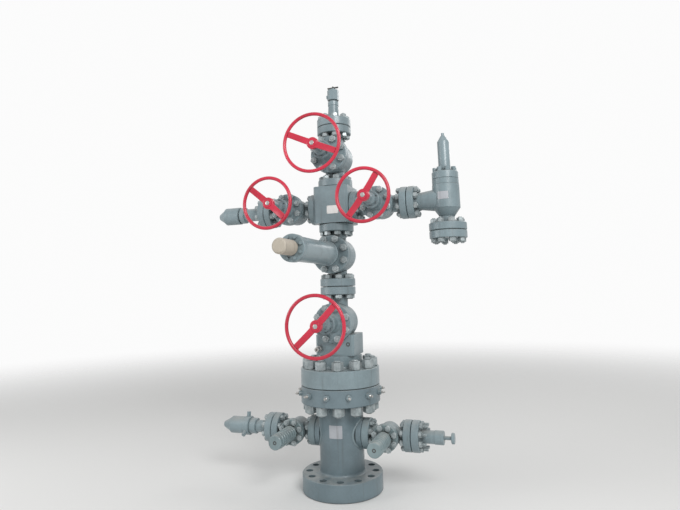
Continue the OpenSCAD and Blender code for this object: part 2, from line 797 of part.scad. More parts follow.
module adapter_flange() {
    color(paint)
        translate([0, 0, adapter_z])
            difference() {
                union() {
                    flange_blank(head_flange_d, adapter_t, face_of(head_pcd, head_hole_d));
                    cylinder(d = adapter_neck_d, h = adapter_t + adapter_neck_h);
                    translate([0, 0, adapter_t]) root(adapter_neck_d, adapter_root_r);
                }
                flange_holes(head_pcd, head_bolts, head_hole_d, adapter_t);
                translate([0, 0, -bite])
                    cylinder(d = run_bore_d, h = adapter_t + adapter_neck_h + 2 * bite);
            }
}

module lower_master_body() {
    top_neck = master_h - master_stem_z;
    color(paint)
        translate([0, 0, master_z])
            difference() {
                union() {
                    chamfered_block(master_block_w, run_bonnet_y - run_bonnet_t,
                        master_block_back, master_block_h, master_block_edge);
                    translate([0, 0, master_h])
                        mirror([0, 0, 1])
                            flange_blank(run_flange_d, run_flange_t,
                                face_of(run_pcd, run_hole_d));
                    translate([0, 0, master_stem_z])
                        cylinder(d = run_neck_d, h = top_neck - run_flange_t);
                    translate([0, 0, master_stem_z]) run_barrel();
                }
                translate([0, 0, -bite]) cylinder(d = run_bore_d, h = master_h + 2 * bite);
                translate([0, 0, master_h - run_flange_t])
                    flange_holes(run_pcd, small_bolts, run_hole_d, run_flange_t);
                translate([0, 0, master_stem_z])
                    bonnet_holes(run_bonnet_pcd, run_stud_d, run_bonnet_y, run_bonnet_t);
            }
}

module run_bonnet() {
    bonnet(run_bonnet_d, run_bonnet_pcd, run_hole_d, run_bonnet_y, run_bonnet_t,
        run_bonnet_tube_d, run_wheel_y);
}

module wing_bonnet() {
    bonnet(wing_bonnet_d, wing_bonnet_pcd, wing_hole_d, wing_bonnet_y, wing_bonnet_t,
        wing_bonnet_tube_d, wing_wheel_y);
}

module lower_master_bonnet() {
    color(paint) translate([0, 0, master_axis_z]) run_bonnet();
}

module lower_master_stem() {
    color(steel) translate([0, 0, master_axis_z]) stem(run_bonnet_y, run_wheel_y);
}

module lower_master_handwheel() {
    color(wheel_red)
        translate([0, 0, master_axis_z])
            handwheel(run_wheel_d, run_wheel_y, master_wheel_turn);
}

module run_valve_body(h) {
    difference() {
        flanged_valve(h, run_flange_d, run_flange_t, run_neck_d, run_pcd, run_hole_d, run_bore_d)
            run_barrel();
        bonnet_holes(run_bonnet_pcd, run_stud_d, run_bonnet_y, run_bonnet_t);
    }
}

module upper_master_body() {
    color(paint) translate([0, 0, upper_axis_z]) run_valve_body(upper_h);
}

module upper_master_bonnet() {
    color(paint)
        translate([0, 0, upper_axis_z])
            along_front()
                difference() {
                    union() {
                        translate([0, 0, run_bonnet_y - run_bonnet_t])
                            disc(run_bonnet_d, run_bonnet_t);
                        cylinder(d = run_bonnet_tube_d, h = act_back_y);
                    }
                    translate([0, 0, -bite])
                        cylinder(d = 2 * run_bonnet_d, h = run_bonnet_y - run_bonnet_t + bite);
                    translate([0, 0, run_bonnet_y - run_bonnet_t])
                        flange_holes(run_bonnet_pcd, small_bolts, run_hole_d, run_bonnet_t);
                }
}

module actuator_cylinder() {
    color(paint)
        translate([0, 0, upper_axis_z])
            along_front()
                translate([0, 0, act_back_y]) {
                    disc(act_flange_d, act_flange_t);
                    cylinder(d = act_d, h = act_front_y - act_back_y);
                    translate([0, 0, act_front_y - act_back_y - act_flange_t])
                        disc(act_flange_d, act_flange_t);
                }
}

module actuator_end_cap() {
    color(paint)
        translate([0, 0, upper_axis_z])
            along_front()
                translate([0, 0, act_front_y]) {
                    disc(act_flange_d, act_cap_t);
                    translate([0, 0, act_cap_t])
                        bolt_circle((act_flange_d + act_cover_d + edge) / 2, small_bolts)
                            cylinder(d = act_bolt_d, h = act_bolt_h, $fn = 6);
                }
}

module actuator_rod_cover() {
    color(cover_white)
        translate([0, 0, upper_axis_z])
            along_front()
                translate([0, 0, act_front_y + act_cap_t])
                    disc(act_cover_d, act_cover_l, act_cover_edge);
}

module cross_block() {
    color(paint)
        difference() {
            translate([0, 0, cross_z])
                chamfered_block(cross_w, cross_w / 2, cross_w / 2, cross_h, cross_edge);
            translate([0, 0, cross_z - bite]) cylinder(d = run_bore_d, h = cross_h + 2 * bite);
            translate([0, 0, wing_z])
                along_x()
                    cylinder(d = wing_bore_d, h = cross_w + 2 * bite, center = true);
            translate([0, 0, cross_z + cross_h]) block_holes(run_pcd, run_stud_d);
            translate([0, 0, cross_z]) mirror([0, 0, 1]) block_holes(run_pcd, run_stud_d);
            for (side = [0, 1])
                mirror([side, 0, 0])
                    translate([cross_w / 2, 0, wing_z])
                        along_x()
                            block_holes(wing_pcd, wing_stud_d, wing_screw_in);
        }
}

module swab_body() {
    color(paint) translate([0, 0, swab_axis_z]) run_valve_body(swab_h);
}

module swab_bonnet() {
    color(paint) translate([0, 0, swab_axis_z]) run_bonnet();
}

module swab_stem() {
    color(steel) translate([0, 0, swab_axis_z]) stem(run_bonnet_y, run_wheel_y);
}

module swab_handwheel() {
    color(wheel_red)
        translate([0, 0, swab_axis_z])
            handwheel(run_wheel_d, run_wheel_y, swab_wheel_turn);
}

module tree_cap() {
    color(paint)
        translate([0, 0, cap_z])
            difference() {
                union() {
                    flange_blank(run_flange_d, cap_t, face_of(run_pcd, run_hole_d));
                    translate([0, 0, cap_t])
                        cylinder(d1 = cap_neck_low_d, d2 = cap_neck_top_d, h = cap_neck_h);
                    translate([0, 0, cap_t + cap_neck_h - cap_ring_h])
                        disc(cap_ring_d, cap_ring_h, fine_edge);
                }
                flange_holes(run_pcd, small_bolts, run_hole_d, cap_t);
                translate([0, 0, -bite]) cylinder(d = run_bore_d, h = cap_bore_l + bite);
            }
}

module needle_valve() {
    color(paint)
        translate([0, 0, needle_z])
            difference() {
                union() {
                    cylinder(d = needle_foot_d, h = needle_foot_h + bite);
                    translate([0, 0, needle_foot_h])
                        rotate([0, 0, 22.5])
                            cylinder(d = needle_af / cos(22.5), h = needle_h - needle_foot_h,
                                $fn = 8);
                    translate([0, 0, needle_h]) cylinder(d = needle_boss_d, h = needle_boss_h);
                    translate([0, 0, needle_h / 2])
                        mirror([1, 0, 0])
                            along_x()
                                cylinder(d = needle_port_d, h = needle_af / 2 + needle_port_l,
                                    $fn = 6);
                }
                translate([0, 0, needle_h / 2])
                    cylinder(d = needle_stem_d + 2 * stem_clear, h = needle_h);
            }
}

module needle_handle() {
    color("#4a4f52")
        translate([0, 0, needle_z]) {
            translate([0, 0, needle_h / 2 + seat])
                cylinder(d = needle_stem_d,
                    h = needle_h / 2 + needle_bar_rise + needle_stem_tip - seat);
            translate([0, 0, needle_h + needle_bar_rise])
                along_x()
                    cylinder(d = needle_bar_d, h = needle_bar_l, center = true, $fn = 32);
        }
}

module wing_body() {
    difference() {
        along_x()
            flanged_valve(wing_l, wing_flange_d, wing_flange_t, wing_neck_d, wing_pcd,
                wing_hole_d, wing_bore_d, wing_root_r)
                wing_barrel();
        bonnet_holes(wing_bonnet_pcd, wing_stud_d, wing_bonnet_y, wing_bonnet_t);
    }
}

module left_wing_body() {
    color(paint) translate([-wing_x, 0, wing_z]) wing_body();
}

module left_wing_bonnet() {
    color(paint) translate([-wing_x, 0, wing_z]) wing_bonnet();
}

module left_wing_stem() {
    color(steel) translate([-wing_x, 0, wing_z]) stem(wing_bonnet_y, wing_wheel_y);
}

module left_wing_handwheel() {
    color(wheel_red)
        translate([-wing_x, 0, wing_z])
            handwheel(wing_wheel_d, wing_wheel_y, left_wheel_turn);
}

module right_wing_body() {
    color(paint) translate([wing_x, 0, wing_z]) wing_body();
}

module right_wing_bonnet() {
    color(paint) translate([wing_x, 0, wing_z]) wing_bonnet();
}

module right_wing_stem() {
    color(steel) translate([wing_x, 0, wing_z]) stem(wing_bonnet_y, wing_wheel_y);
}

module right_wing_handwheel() {
    color(wheel_red)
        translate([wing_x, 0, wing_z])
            handwheel(wing_wheel_d, wing_wheel_y, right_wheel_turn);
}

// Companion flange, waist, ring and bull plug at the left end of the wing run
module left_wing_end_plug() {
    ring_z = wing_flange_t + wing_waist_l;
    plug_z = ring_z + wing_ring_t + wing_ring_gap;
    color(paint)
        translate([-wing_end_x, 0, wing_z])
            mirror([1, 0, 0])
                along_x()
                    difference() {
                        union() {
                            flange_blank(wing_flange_d, wing_flange_t,
                                face_of(wing_pcd, wing_hole_d));
                            cylinder(d = wing_waist_d, h = plug_z + bite);
                            translate([0, 0, wing_flange_t]) root(wing_waist_d, waist_root_r);
                            translate([0, 0, ring_z]) disc(wing_ring_d, wing_ring_t);
                            translate([0, 0, plug_z]) disc(wing_plug_d, wing_plug_l);
                            translate([0, 0, plug_z + wing_plug_l - edge])
                                cylinder(d1 = wing_plug_d - 2 * edge, d2 = wing_plug_tip_d,
                                    h = wing_plug_cone);
                        }
                        flange_holes(wing_pcd, small_bolts, wing_hole_d, wing_flange_t);
                        translate([0, 0, -bite])
                            cylinder(d = wing_bore_d,
                                h = wing_flange_t + wing_plug_bore_l + bite);
                    }
}

module choke_body() {
    color(paint)
        difference() {
            union() {
                translate([wing_end_x, 0, wing_z])
                    along_x() {
                        flange_blank(wing_flange_d, wing_flange_t,
                            face_of(wing_pcd, wing_hole_d));
                        cylinder(d = wing_neck_d, h = choke_offset);
                        translate([0, 0, wing_flange_t]) root(wing_neck_d, wing_root_r);
                        translate([0, 0, wing_flange_t + choke_inlet_l])
                            cylinder(d1 = wing_neck_d, d2 = choke_inlet_d,
                                h = choke_offset - wing_flange_t - choke_inlet_l
                                    - choke_inlet_end);
                    }
                translate([choke_x, 0, wing_z - choke_down])
                    disc(choke_d, choke_down + choke_up - choke_ring_t);
                translate([choke_x, 0, wing_z + choke_up - choke_ring_t - bite])
                    disc(choke_ring_d, choke_ring_t + bite, fine_edge);
                translate([choke_x, 0, wing_z - choke_down - choke_cone_h])
                    cylinder(d1 = choke_neck_d, d2 = choke_d - 2 * edge, h = choke_cone_h);
                translate([choke_x, 0, choke_foot_z - bite])
                    cylinder(d = choke_neck_d, h = choke_neck_h + 2 * bite);
                translate([choke_x, 0, choke_foot_z]) root(choke_neck_d, choke_root_r);
                translate([choke_x, 0, choke_joint_z])
                    flange_blank(choke_flange_d, choke_flange_t,
                        face_of(choke_pcd, run_hole_d));
            }
            translate([wing_end_x - bite, 0, wing_z])
                along_x()
                    cylinder(d = wing_bore_d, h = choke_offset);
            translate([choke_x, 0, choke_joint_z - bite])
                cylinder(d = wing_bore_d, h = wing_z - choke_joint_z);
            translate([wing_end_x, 0, wing_z])
                along_x()
                    flange_holes(wing_pcd, small_bolts, wing_hole_d, wing_flange_t);
            translate([choke_x, 0, choke_joint_z])
                flange_holes(choke_pcd, small_bolts, run_hole_d, choke_flange_t);
        }
}

module choke_spindle_housing() {
    nose_z = choke_top_t + choke_housing_l;
    color(paint)
        translate([choke_x, 0, wing_z + choke_up]) {
            disc(choke_ring_d, choke_top_t);
            cylinder(d = choke_housing_d, h = nose_z);
            translate([0, 0, nose_z])
                cylinder(d1 = choke_housing_d, d2 = choke_nose_d, h = choke_nose_l);
            translate([0, 0, nose_z + choke_nose_l - bite])
                cylinder(d = choke_spindle_d, h = choke_spindle_l + bite);
            translate([0, 0, choke_top_t - bite])
                bolt_circle((choke_ring_d + choke_housing_d) / 2 + edge, small_bolts)
                    cylinder(d = choke_nut_d, h = choke_nut_h + bite, $fn = 6);
        }
}

module choke_outlet_flange() {
    color(paint)
        translate([choke_x, 0, choke_joint_z])
            mirror([0, 0, 1])
                difference() {
                    flange_blank(choke_flange_d, choke_flange_t,
                        face_of(choke_pcd, run_hole_d));
                    translate([0, 0, -bite]) cylinder(d = wing_bore_d, h = choke_flange_t + 2 * bite);
                    flange_holes(choke_pcd, small_bolts, run_hole_d, choke_flange_t);
                }
}

module side_valve_body() {
    difference() {
        along_x()
            flanged_valve(side_l, side_flange_d, side_flange_t, side_neck_d, side_pcd,
                side_hole_d, side_bore_d, side_root_r)
                side_barrel();
        bonnet_holes(side_bonnet_pcd, side_stud_d, side_bonnet_y, side_bonnet_t);
    }
}

// Bonnet of a side valve with its ribbed stem housing and round end piece
module side_valve_bonnet() {
    end_y = side_housing_y - side_end_t;
    pitch = (end_y - side_bonnet_y - side_rib_start) / side_ribs;
    along_front()
        difference() {
            union() {
                translate([0, 0, side_bonnet_y - side_bonnet_t])
                    disc(side_bonnet_d, side_bonnet_t);
                translate([0, 0, side_bonnet_y - bite])
                    cylinder(d = side_housing_d - 2 * side_rib_h,
                        h = end_y - side_bonnet_y + 2 * bite);
                for (i = [0:side_ribs - 1])
                    translate([0, 0, side_bonnet_y + side_rib_start + i * pitch])
                        disc(side_housing_d, side_rib_t, side_rib_h - bite);
                translate([0, 0, end_y]) disc(side_end_d, side_end_t, edge);
            }
            translate([0, 0, side_bonnet_y - side_bonnet_t])
                flange_holes(side_bonnet_pcd, small_bolts, side_hole_d, side_bonnet_t);
        }
}

module left_side_valve_body() {
    color(paint) translate([-side_x, 0, outlet_z]) side_valve_body();
}

module left_side_valve_bonnet() {
    color(paint) translate([-side_x, 0, outlet_z]) side_valve_bonnet();
}

// Companion flange, neck, union nut with three lugs and plug at the left side outlet
module left_side_end_union() {
    nut_z = side_flange_t + union_neck_l;
    plug_z = nut_z + union_nut_t - edge;
    color(paint)
        translate([-side_end_x, 0, outlet_z])
            mirror([1, 0, 0])
                along_x()
                    difference() {
                        union() {
                            flange_blank(side_flange_d, side_flange_t,
                                face_of(side_pcd, side_hole_d));
                            cylinder(d = side_waist_d, h = nut_z + edge);
                            translate([0, 0, side_flange_t]) root(side_waist_d, waist_root_r);
                            translate([0, 0, nut_z - union_collar_l])
                                disc(union_collar_d, union_collar_l + bite);
                            translate([0, 0, nut_z]) disc(union_nut_d, union_nut_t);
                            for (turn = [180, 60, 300])
                                rotate([0, 0, turn])
                                    translate([0, 0, nut_z + union_nut_t / 2])
                                        along_x()
                                            cylinder(d = lug_d, h = side_plug_d / 2 + lug_l);
                            translate([0, 0, plug_z]) disc(side_plug_d, side_plug_l);
                            translate([0, 0, plug_z + side_plug_l - edge])
                                cylinder(d1 = side_plug_d - 2 * edge, d2 = side_plug_tip_d,
                                    h = side_plug_cone);
                        }
                        flange_holes(side_pcd, small_bolts, side_hole_d, side_flange_t);
                        translate([0, 0, -bite])
                            cylinder(d = side_bore_d, h = side_flange_t + side_end_bore_l + bite);
                    }
}

module right_side_valve_body() {
    color(paint) translate([side_x, 0, outlet_z]) side_valve_body();
}

module right_side_valve_bonnet() {
    color(paint) translate([side_x, 0, outlet_z]) side_valve_bonnet();
}

// Companion flange, neck, short plug, stem and round end piece at the right side outlet
module right_side_end_plug() {
    plug_z = side_flange_t + stub_neck_l;
    stem_z = plug_z + stub_plug_l;
    color(paint)
        translate([side_end_x, 0, outlet_z])
            along_x()
                difference() {
                    union() {
                        flange_blank(side_flange_d, side_flange_t,
                            face_of(side_pcd, side_hole_d));
                        cylinder(d = side_waist_d, h = plug_z + edge);
                        translate([0, 0, side_flange_t]) root(side_waist_d, waist_root_r);
                        translate([0, 0, plug_z]) disc(stub_plug_d, stub_plug_l);
                        translate([0, 0, stem_z - bite])
                            cylinder(d = stub_stem_d, h = stub_stem_l + 2 * bite, $fn = 6);
                        translate([0, 0, stem_z + stub_stem_l]) disc(stub_end_d, stub_end_t);
                    }
                    flange_holes(side_pcd, small_bolts, side_hole_d, side_flange_t);
                    translate([0, 0, -bite])
                        cylinder(d = side_bore_d, h = side_flange_t + side_end_bore_l + bite);
                }
}

module run_flange_studs() {
    color(steel) {
        translate([0, 0, upper_z - run_flange_t])
            bolt_circle(run_pcd, small_bolts)
                stud(run_stud_d, run_nut_af, run_grip);
        translate([0, 0, cross_z])
            mirror([0, 0, 1])
                bolt_circle(run_pcd, small_bolts)
                    block_stud(run_stud_d, run_nut_af, run_flange_t);
        translate([0, 0, swab_z])
            bolt_circle(run_pcd, small_bolts)
                block_stud(run_stud_d, run_nut_af, run_flange_t);
        translate([0, 0, cap_z - run_flange_t])
            bolt_circle(run_pcd, small_bolts)
                stud(run_stud_d, run_nut_af, run_flange_t + cap_t);
    }
}

module wing_flange_studs() {
    color(steel) {
        for (side = [0, 1])
            mirror([side, 0, 0])
                translate([0, 0, wing_z])
                    along_x() {
                        translate([0, 0, cross_w / 2])
                            bolt_circle(wing_pcd, small_bolts)
                                block_stud(wing_stud_d, wing_nut_af, wing_flange_t,
                                    wing_screw_in);
                        translate([0, 0, wing_end_x - wing_flange_t])
                            bolt_circle(wing_pcd, small_bolts)
                                stud(wing_stud_d, wing_nut_af, wing_grip);
                    }
        translate([choke_x, 0, choke_joint_z - choke_flange_t])
            bolt_circle(choke_pcd, small_bolts)
                stud(run_stud_d, run_nut_af, 2 * choke_flange_t);
    }
}

module side_flange_studs() {
    color(steel)
        for (side = [0, 1])
            mirror([side, 0, 0])
                translate([0, 0, outlet_z])
                    along_x() {
                        translate([0, 0, outlet_reach])
                            bolt_circle(side_pcd, small_bolts)
                                block_stud(side_stud_d, side_nut_af, side_flange_t);
                        translate([0, 0, side_end_x - side_flange_t])
                            bolt_circle(side_pcd, small_bolts)
                                stud(side_stud_d, side_nut_af, side_grip);
                    }
}

// Studs that clamp one bonnet on its body, for a valve centred on the origin
module bonnet_stud_ring(pcd, d, af, y, t) {
    along_front()
        translate([0, 0, y - t])
            bolt_circle(pcd, small_bolts)
                block_stud(d, af, t, thread_depth(t));
}

module bonnet_studs() {
    color(steel) {
        for (z = [master_axis_z, upper_axis_z, swab_axis_z])
            translate([0, 0, z])
                bonnet_stud_ring(run_bonnet_pcd, run_stud_d, run_nut_af, run_bonnet_y,
                    run_bonnet_t);
        for (x = [-wing_x, wing_x])
            translate([x, 0, wing_z])
                bonnet_stud_ring(wing_bonnet_pcd, wing_stud_d, wing_nut_af, wing_bonnet_y,
                    wing_bonnet_t);
        for (x = [-side_x, side_x])
            translate([x, 0, outlet_z])
                bonnet_stud_ring(side_bonnet_pcd, side_stud_d, side_nut_af, side_bonnet_y,
                    side_bonnet_t);
    }
}

tubing_head_spool();
lock_down_screws();
head_flange_studs();
adapter_flange();
lower_master_body();
lower_master_bonnet();
lower_master_stem();
lower_master_handwheel();
upper_master_body();
upper_master_bonnet();
actuator_cylinder();
actuator_end_cap();
actuator_rod_cover();
cross_block();
swab_body();
swab_bonnet();
swab_stem();
swab_handwheel();
tree_cap();
needle_valve();
needle_handle();
left_wing_body();
left_wing_bonnet();
left_wing_stem();
left_wing_handwheel();
left_wing_end_plug();
right_wing_body();
right_wing_bonnet();
right_wing_stem();
right_wing_handwheel();
choke_body();
choke_spindle_housing();
choke_outlet_flange();
left_side_valve_body();
left_side_valve_bonnet();
left_side_end_union();
right_side_valve_body();
right_side_valve_bonnet();
right_side_end_plug();
run_flange_studs();
wing_flange_studs();
side_flange_studs();
bonnet_studs();
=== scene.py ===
"""Finishes, small detail, light and camera for an oil wellhead valve stack.

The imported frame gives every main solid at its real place. This script dresses those solids,
puts threaded studs, nuts, handwheels, fillets, plates and fittings round them and sets up the
studio. All lengths are metres in the frame's axes: +Z runs up the well bore, +X along the wing
run and -Y towards the handwheels.
"""

from __future__ import annotations

import json
import logging
import math
from collections.abc import Sequence
from dataclasses import dataclass, replace
from enum import Enum

import bmesh
import bpy
import numpy as np
from mathutils import Matrix, Vector

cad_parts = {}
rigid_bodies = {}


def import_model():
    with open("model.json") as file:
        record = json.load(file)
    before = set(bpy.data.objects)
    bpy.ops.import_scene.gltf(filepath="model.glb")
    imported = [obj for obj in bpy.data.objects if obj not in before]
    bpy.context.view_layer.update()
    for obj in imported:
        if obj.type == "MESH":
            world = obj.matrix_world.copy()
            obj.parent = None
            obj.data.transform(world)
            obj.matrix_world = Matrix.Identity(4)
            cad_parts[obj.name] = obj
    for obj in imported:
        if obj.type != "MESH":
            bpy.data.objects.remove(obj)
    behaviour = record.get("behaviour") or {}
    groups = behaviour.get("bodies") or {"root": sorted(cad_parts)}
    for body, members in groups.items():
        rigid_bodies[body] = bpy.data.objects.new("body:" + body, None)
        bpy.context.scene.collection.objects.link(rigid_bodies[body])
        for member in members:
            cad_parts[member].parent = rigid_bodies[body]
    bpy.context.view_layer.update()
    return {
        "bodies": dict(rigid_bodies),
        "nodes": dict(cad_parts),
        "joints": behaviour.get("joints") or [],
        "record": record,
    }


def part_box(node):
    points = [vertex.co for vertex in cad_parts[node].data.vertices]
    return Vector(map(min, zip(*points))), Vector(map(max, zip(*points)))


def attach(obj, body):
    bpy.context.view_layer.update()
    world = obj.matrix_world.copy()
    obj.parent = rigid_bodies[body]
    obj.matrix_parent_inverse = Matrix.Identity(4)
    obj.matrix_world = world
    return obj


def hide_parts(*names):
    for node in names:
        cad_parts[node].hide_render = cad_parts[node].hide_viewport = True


LOG = logging.getLogger("wellhead")
TREE = "tree"
FULL_TURN = 2.0 * math.pi
QUARTER = FULL_TURN / 4
SEAT = 0.0003  # Gap between a stem and the hole that it passes through
SAME_PLACE = 2e-6  # Points that lie closer than this are one point
EDGE = 0.001  # Chamfer of small turned pieces

NUT_FACE = 0.475  # Radius of a nut's end face, as a share of its width across the flats
NUT_SLOPE = math.tan(math.radians(30))  # Slope of the cone that trims a nut's corners
NUT_BORE = 0.96  # Hole of a nut, as a share of its stud
NUT_POINTS = 36  # Points round a nut
THREAD_DEPTH = 0.6  # Depth of a thread, as a share of its pitch
THREAD_STEPS = 4  # Rings of points in one turn of a thread
THREAD_POINTS = 20  # Points round a thread
ROD_TIP = 0.86  # Radius of a rod's chamfered end, as a share of its radius
SHANK = 0.93  # Plain shank of a stud, as a share of its thread
SHANK_GAP = 0.0005  # How far from the joint plane a shank starts
NUT_FILL = 0.6  # Where the threaded end starts in its nut, as a share of the nut's height
TAIL_RANGE = (0.75, 1.0)  # How much of its tail a stud shows, as a share

Colour = tuple[float, float, float]
Profile = Sequence[tuple[float, float]]
Place = Sequence[float]
Socket = bpy.types.NodeSocket
Material = bpy.types.Material


class Axis(Enum):
    """Directions of rings and turned parts, each as the local X and Y square to it."""

    UP = ((1, 0, 0), (0, 1, 0))
    DOWN = ((1, 0, 0), (0, -1, 0))
    RIGHT = ((0, 1, 0), (0, 0, 1))
    LEFT = ((0, -1, 0), (0, 0, 1))
    FRONT = ((1, 0, 0), (0, 0, 1))


OPPOSITE = {Axis.UP: Axis.DOWN, Axis.DOWN: Axis.UP, Axis.RIGHT: Axis.LEFT,
            Axis.LEFT: Axis.RIGHT}


def framed(across: Place, other: Place, origin: Place) -> np.ndarray:
    """Gives the matrix of local X, local Y and origin, with local Z square to both."""
    top = np.column_stack([across, other, np.cross(across, other), origin])
    return np.vstack([top, (0.0, 0.0, 0.0, 1.0)])


def placed(origin: Place, axis: Axis, turn: float = 0.0) -> np.ndarray:
    """Gives the matrix that stands local +Z on an axis at a point.

    Args:
        origin: Where the local origin goes.
        axis: The direction that local +Z takes.
        turn: Turn about that direction, in radians.

    Returns:
        A 4 by 4 matrix. For FRONT, local X is the frame's X and local Y is up.
    """
    across, other = np.array(axis.value, float)
    c, s = math.cos(turn), math.sin(turn)
    return framed(c * across + s * other, c * other - s * across, origin)


def radial(turn: float, radius: float, height: float, x: float = 0.0) -> np.ndarray:
    """Gives a matrix on a drum round an upright axis at x, with +Z outwards and Y up."""
    c, s = math.cos(turn), math.sin(turn)
    return framed((-s, c, 0.0), (0.0, 0.0, 1.0), (x + radius * c, radius * s, height))


def moved_on(base: np.ndarray, distance: float) -> np.ndarray:
    """Moves a placing matrix along its own Z."""
    return framed(base[:3, 0], base[:3, 1], base[:3, 3] + base[:3, 2] * distance)


class Surfaces:
    """Collects grids of points and joins them into one mesh object."""

    def __init__(self, name: str) -> None:
        """Starts an empty collection for the piece of that name."""
        self.name = name
        self.points: list[np.ndarray] = []
        self.quads: list[np.ndarray] = []
        self.count = 0

    def add(self, grid: np.ndarray, matrix: np.ndarray, wrap_rows: bool = False) -> None:
        """Adds a grid whose columns run round and close on themselves.

        Args:
            grid: Points in the shape (rows, columns, 3). Rows run along the surface so that
                row direction, turned from the column direction, leaves the outside in front.
            matrix: Where the grid is placed.
            wrap_rows: Whether the last row joins the first, as on a ring.
        """
        rows, columns, _ = grid.shape
        here = np.arange(rows * columns).reshape(rows, columns) + self.count
        beside = np.roll(here, -1, 1)
        faces = np.stack([here, beside, np.roll(beside, -1, 0), np.roll(here, -1, 0)], -1)
        self.points.append(grid.reshape(-1, 3) @ matrix[:3, :3].T + matrix[:3, 3])
        self.quads.append((faces if wrap_rows else faces[:-1]).reshape(-1, 4))
        self.count += rows * columns

    def build(self, finish: Finish, body: str, slot: str,
              replaces: tuple[str, ...] = (), sharp: float = 32.0) -> None:
        """Makes the mesh object, dresses it and lets it ride on a body.

        Args:
            finish: The finish of the whole piece.
            body: The body that it rides on.
            slot: The material slot that it stands for; not used.
            replaces: Solids of the frame that it takes the place of.
            sharp: Edges with a larger angle than this, in degrees, stay crisp.
        """
        points = np.concatenate(self.points).astype(np.float32)
        quads = np.concatenate(self.quads).astype(np.int32)
        mesh = bpy.data.meshes.new(self.name)
        mesh.vertices.add(len(points))
        mesh.vertices.foreach_set("co", points.ravel())
        mesh.loops.add(quads.size)
        mesh.loops.foreach_set("vertex_index", quads.ravel())
        mesh.polygons.add(len(quads))
        mesh.polygons.foreach_set("loop_start", np.arange(0, quads.size, 4, dtype=np.int32))
        mesh.update(calc_edges=True)
        work = bmesh.new()
        work.from_mesh(mesh)
        bmesh.ops.remove_doubles(work, verts=work.verts, dist=SAME_PLACE)
        bmesh.ops.dissolve_degenerate(work, edges=work.edges, dist=SAME_PLACE / 4)
        work.to_mesh(mesh)
        work.free()
        mesh.shade_smooth()
        mesh.set_sharp_from_angle(angle=math.radians(sharp))
        mesh.materials.append(finish.material)
        piece = bpy.data.objects.new(self.name, mesh)
        bpy.context.scene.collection.objects.link(piece)
        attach(piece, body)
        if replaces:
            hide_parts(*replaces)
        LOG.info("%s: %d faces on %s", self.name, len(mesh.polygons), body)


def angles(count: int) -> np.ndarray:
    """Gives evenly spaced angles round a full turn, the last short of the first."""
    return np.arange(count) * (FULL_TURN / count)


def around(radius: np.ndarray, height: np.ndarray | float = 0.0) -> np.ndarray:
    """Gives (r cos a, r sin a, z) for radii whose last axis stands at even angles a."""
    turn = angles(radius.shape[-1])
    return np.stack(np.broadcast_arrays(radius * np.cos(turn), radius * np.sin(turn), height), -1)


def circle(radius: float, count: int) -> np.ndarray:
    """Gives the points (r cos a, r sin a, 0) of a circle."""
    return around(np.full(count, radius))


def turned(profile: Profile, count: int = 64) -> np.ndarray:
    """Turns (radius, height) pairs, from the foot up, round Z: (r cos a, r sin a, z)."""
    pairs = np.array(profile, float)[:, :, None]
    return around(np.repeat(pairs[:, 0], count, 1), pairs[:, 1])


def curved(start: np.ndarray, corner: np.ndarray, end: np.ndarray, steps: int) -> np.ndarray:
    """Gives (1 - t)^2 start + 2 t (1 - t) corner + t^2 end, with a first axis for t."""
    t = np.linspace(0.0, 1.0, steps + 1)[:, None, None]
    return (1 - t) ** 2 * start + 2 * t * (1 - t) * corner + t ** 2 * end


def eased(corners: Profile, radius: float) -> np.ndarray:
    """Rounds the inner corners of an open profile.

    Each corner gives way to a curve from a point `radius` before it to one as far after it.

    Args:
        corners: The profile's (radius, height) pairs.
        radius: How far back from a corner its curve starts, at most 0.45 of either side.

    Returns:
        The profile with curves in place of its corners.
    """
    points = np.array(corners, float)
    sides = np.diff(points, axis=0)
    lengths = np.linalg.norm(sides, axis=1, keepdims=True)
    reach = np.minimum(radius, 0.45 * np.minimum(lengths[:-1], lengths[1:]))
    inner = points[1:-1]
    curves = curved(inner - sides[:-1] / lengths[:-1] * reach, inner,
                    inner + sides[1:] / lengths[1:] * reach, 4)
    return np.concatenate([points[:1], curves.swapaxes(0, 1).reshape(-1, 2), points[-1:]])


def nut(across: float, height: float, bore: float) -> np.ndarray:
    """Shapes a heavy hexagon nut with chamfered corners.

    The hexagon's radius at angle a is (across / 2) / cos(a mod 60 - 30 degrees). A cone at 30
    degrees trims the corners, so each end starts from a circle just inside the flats.

    Args:
        across: Width across the flats.
        height: Height of the nut.
        bore: Radius of its hole.

    Returns:
        The grid of a closed nut whose rows wrap.
    """
    sixth = FULL_TURN / 6
    hexagon = (across / 2) / np.cos(np.mod(angles(NUT_POINTS), sixth) - sixth / 2)
    inner, face = np.full(NUT_POINTS, bore), np.full(NUT_POINTS, NUT_FACE * across)
    cut = (hexagon - face) * NUT_SLOPE
    low, high = np.zeros(NUT_POINTS), np.full(NUT_POINTS, height)
    return around(np.stack([inner, face, hexagon, hexagon, face, inner]),
                  np.stack([low, low, cut, height - cut, high, high]))


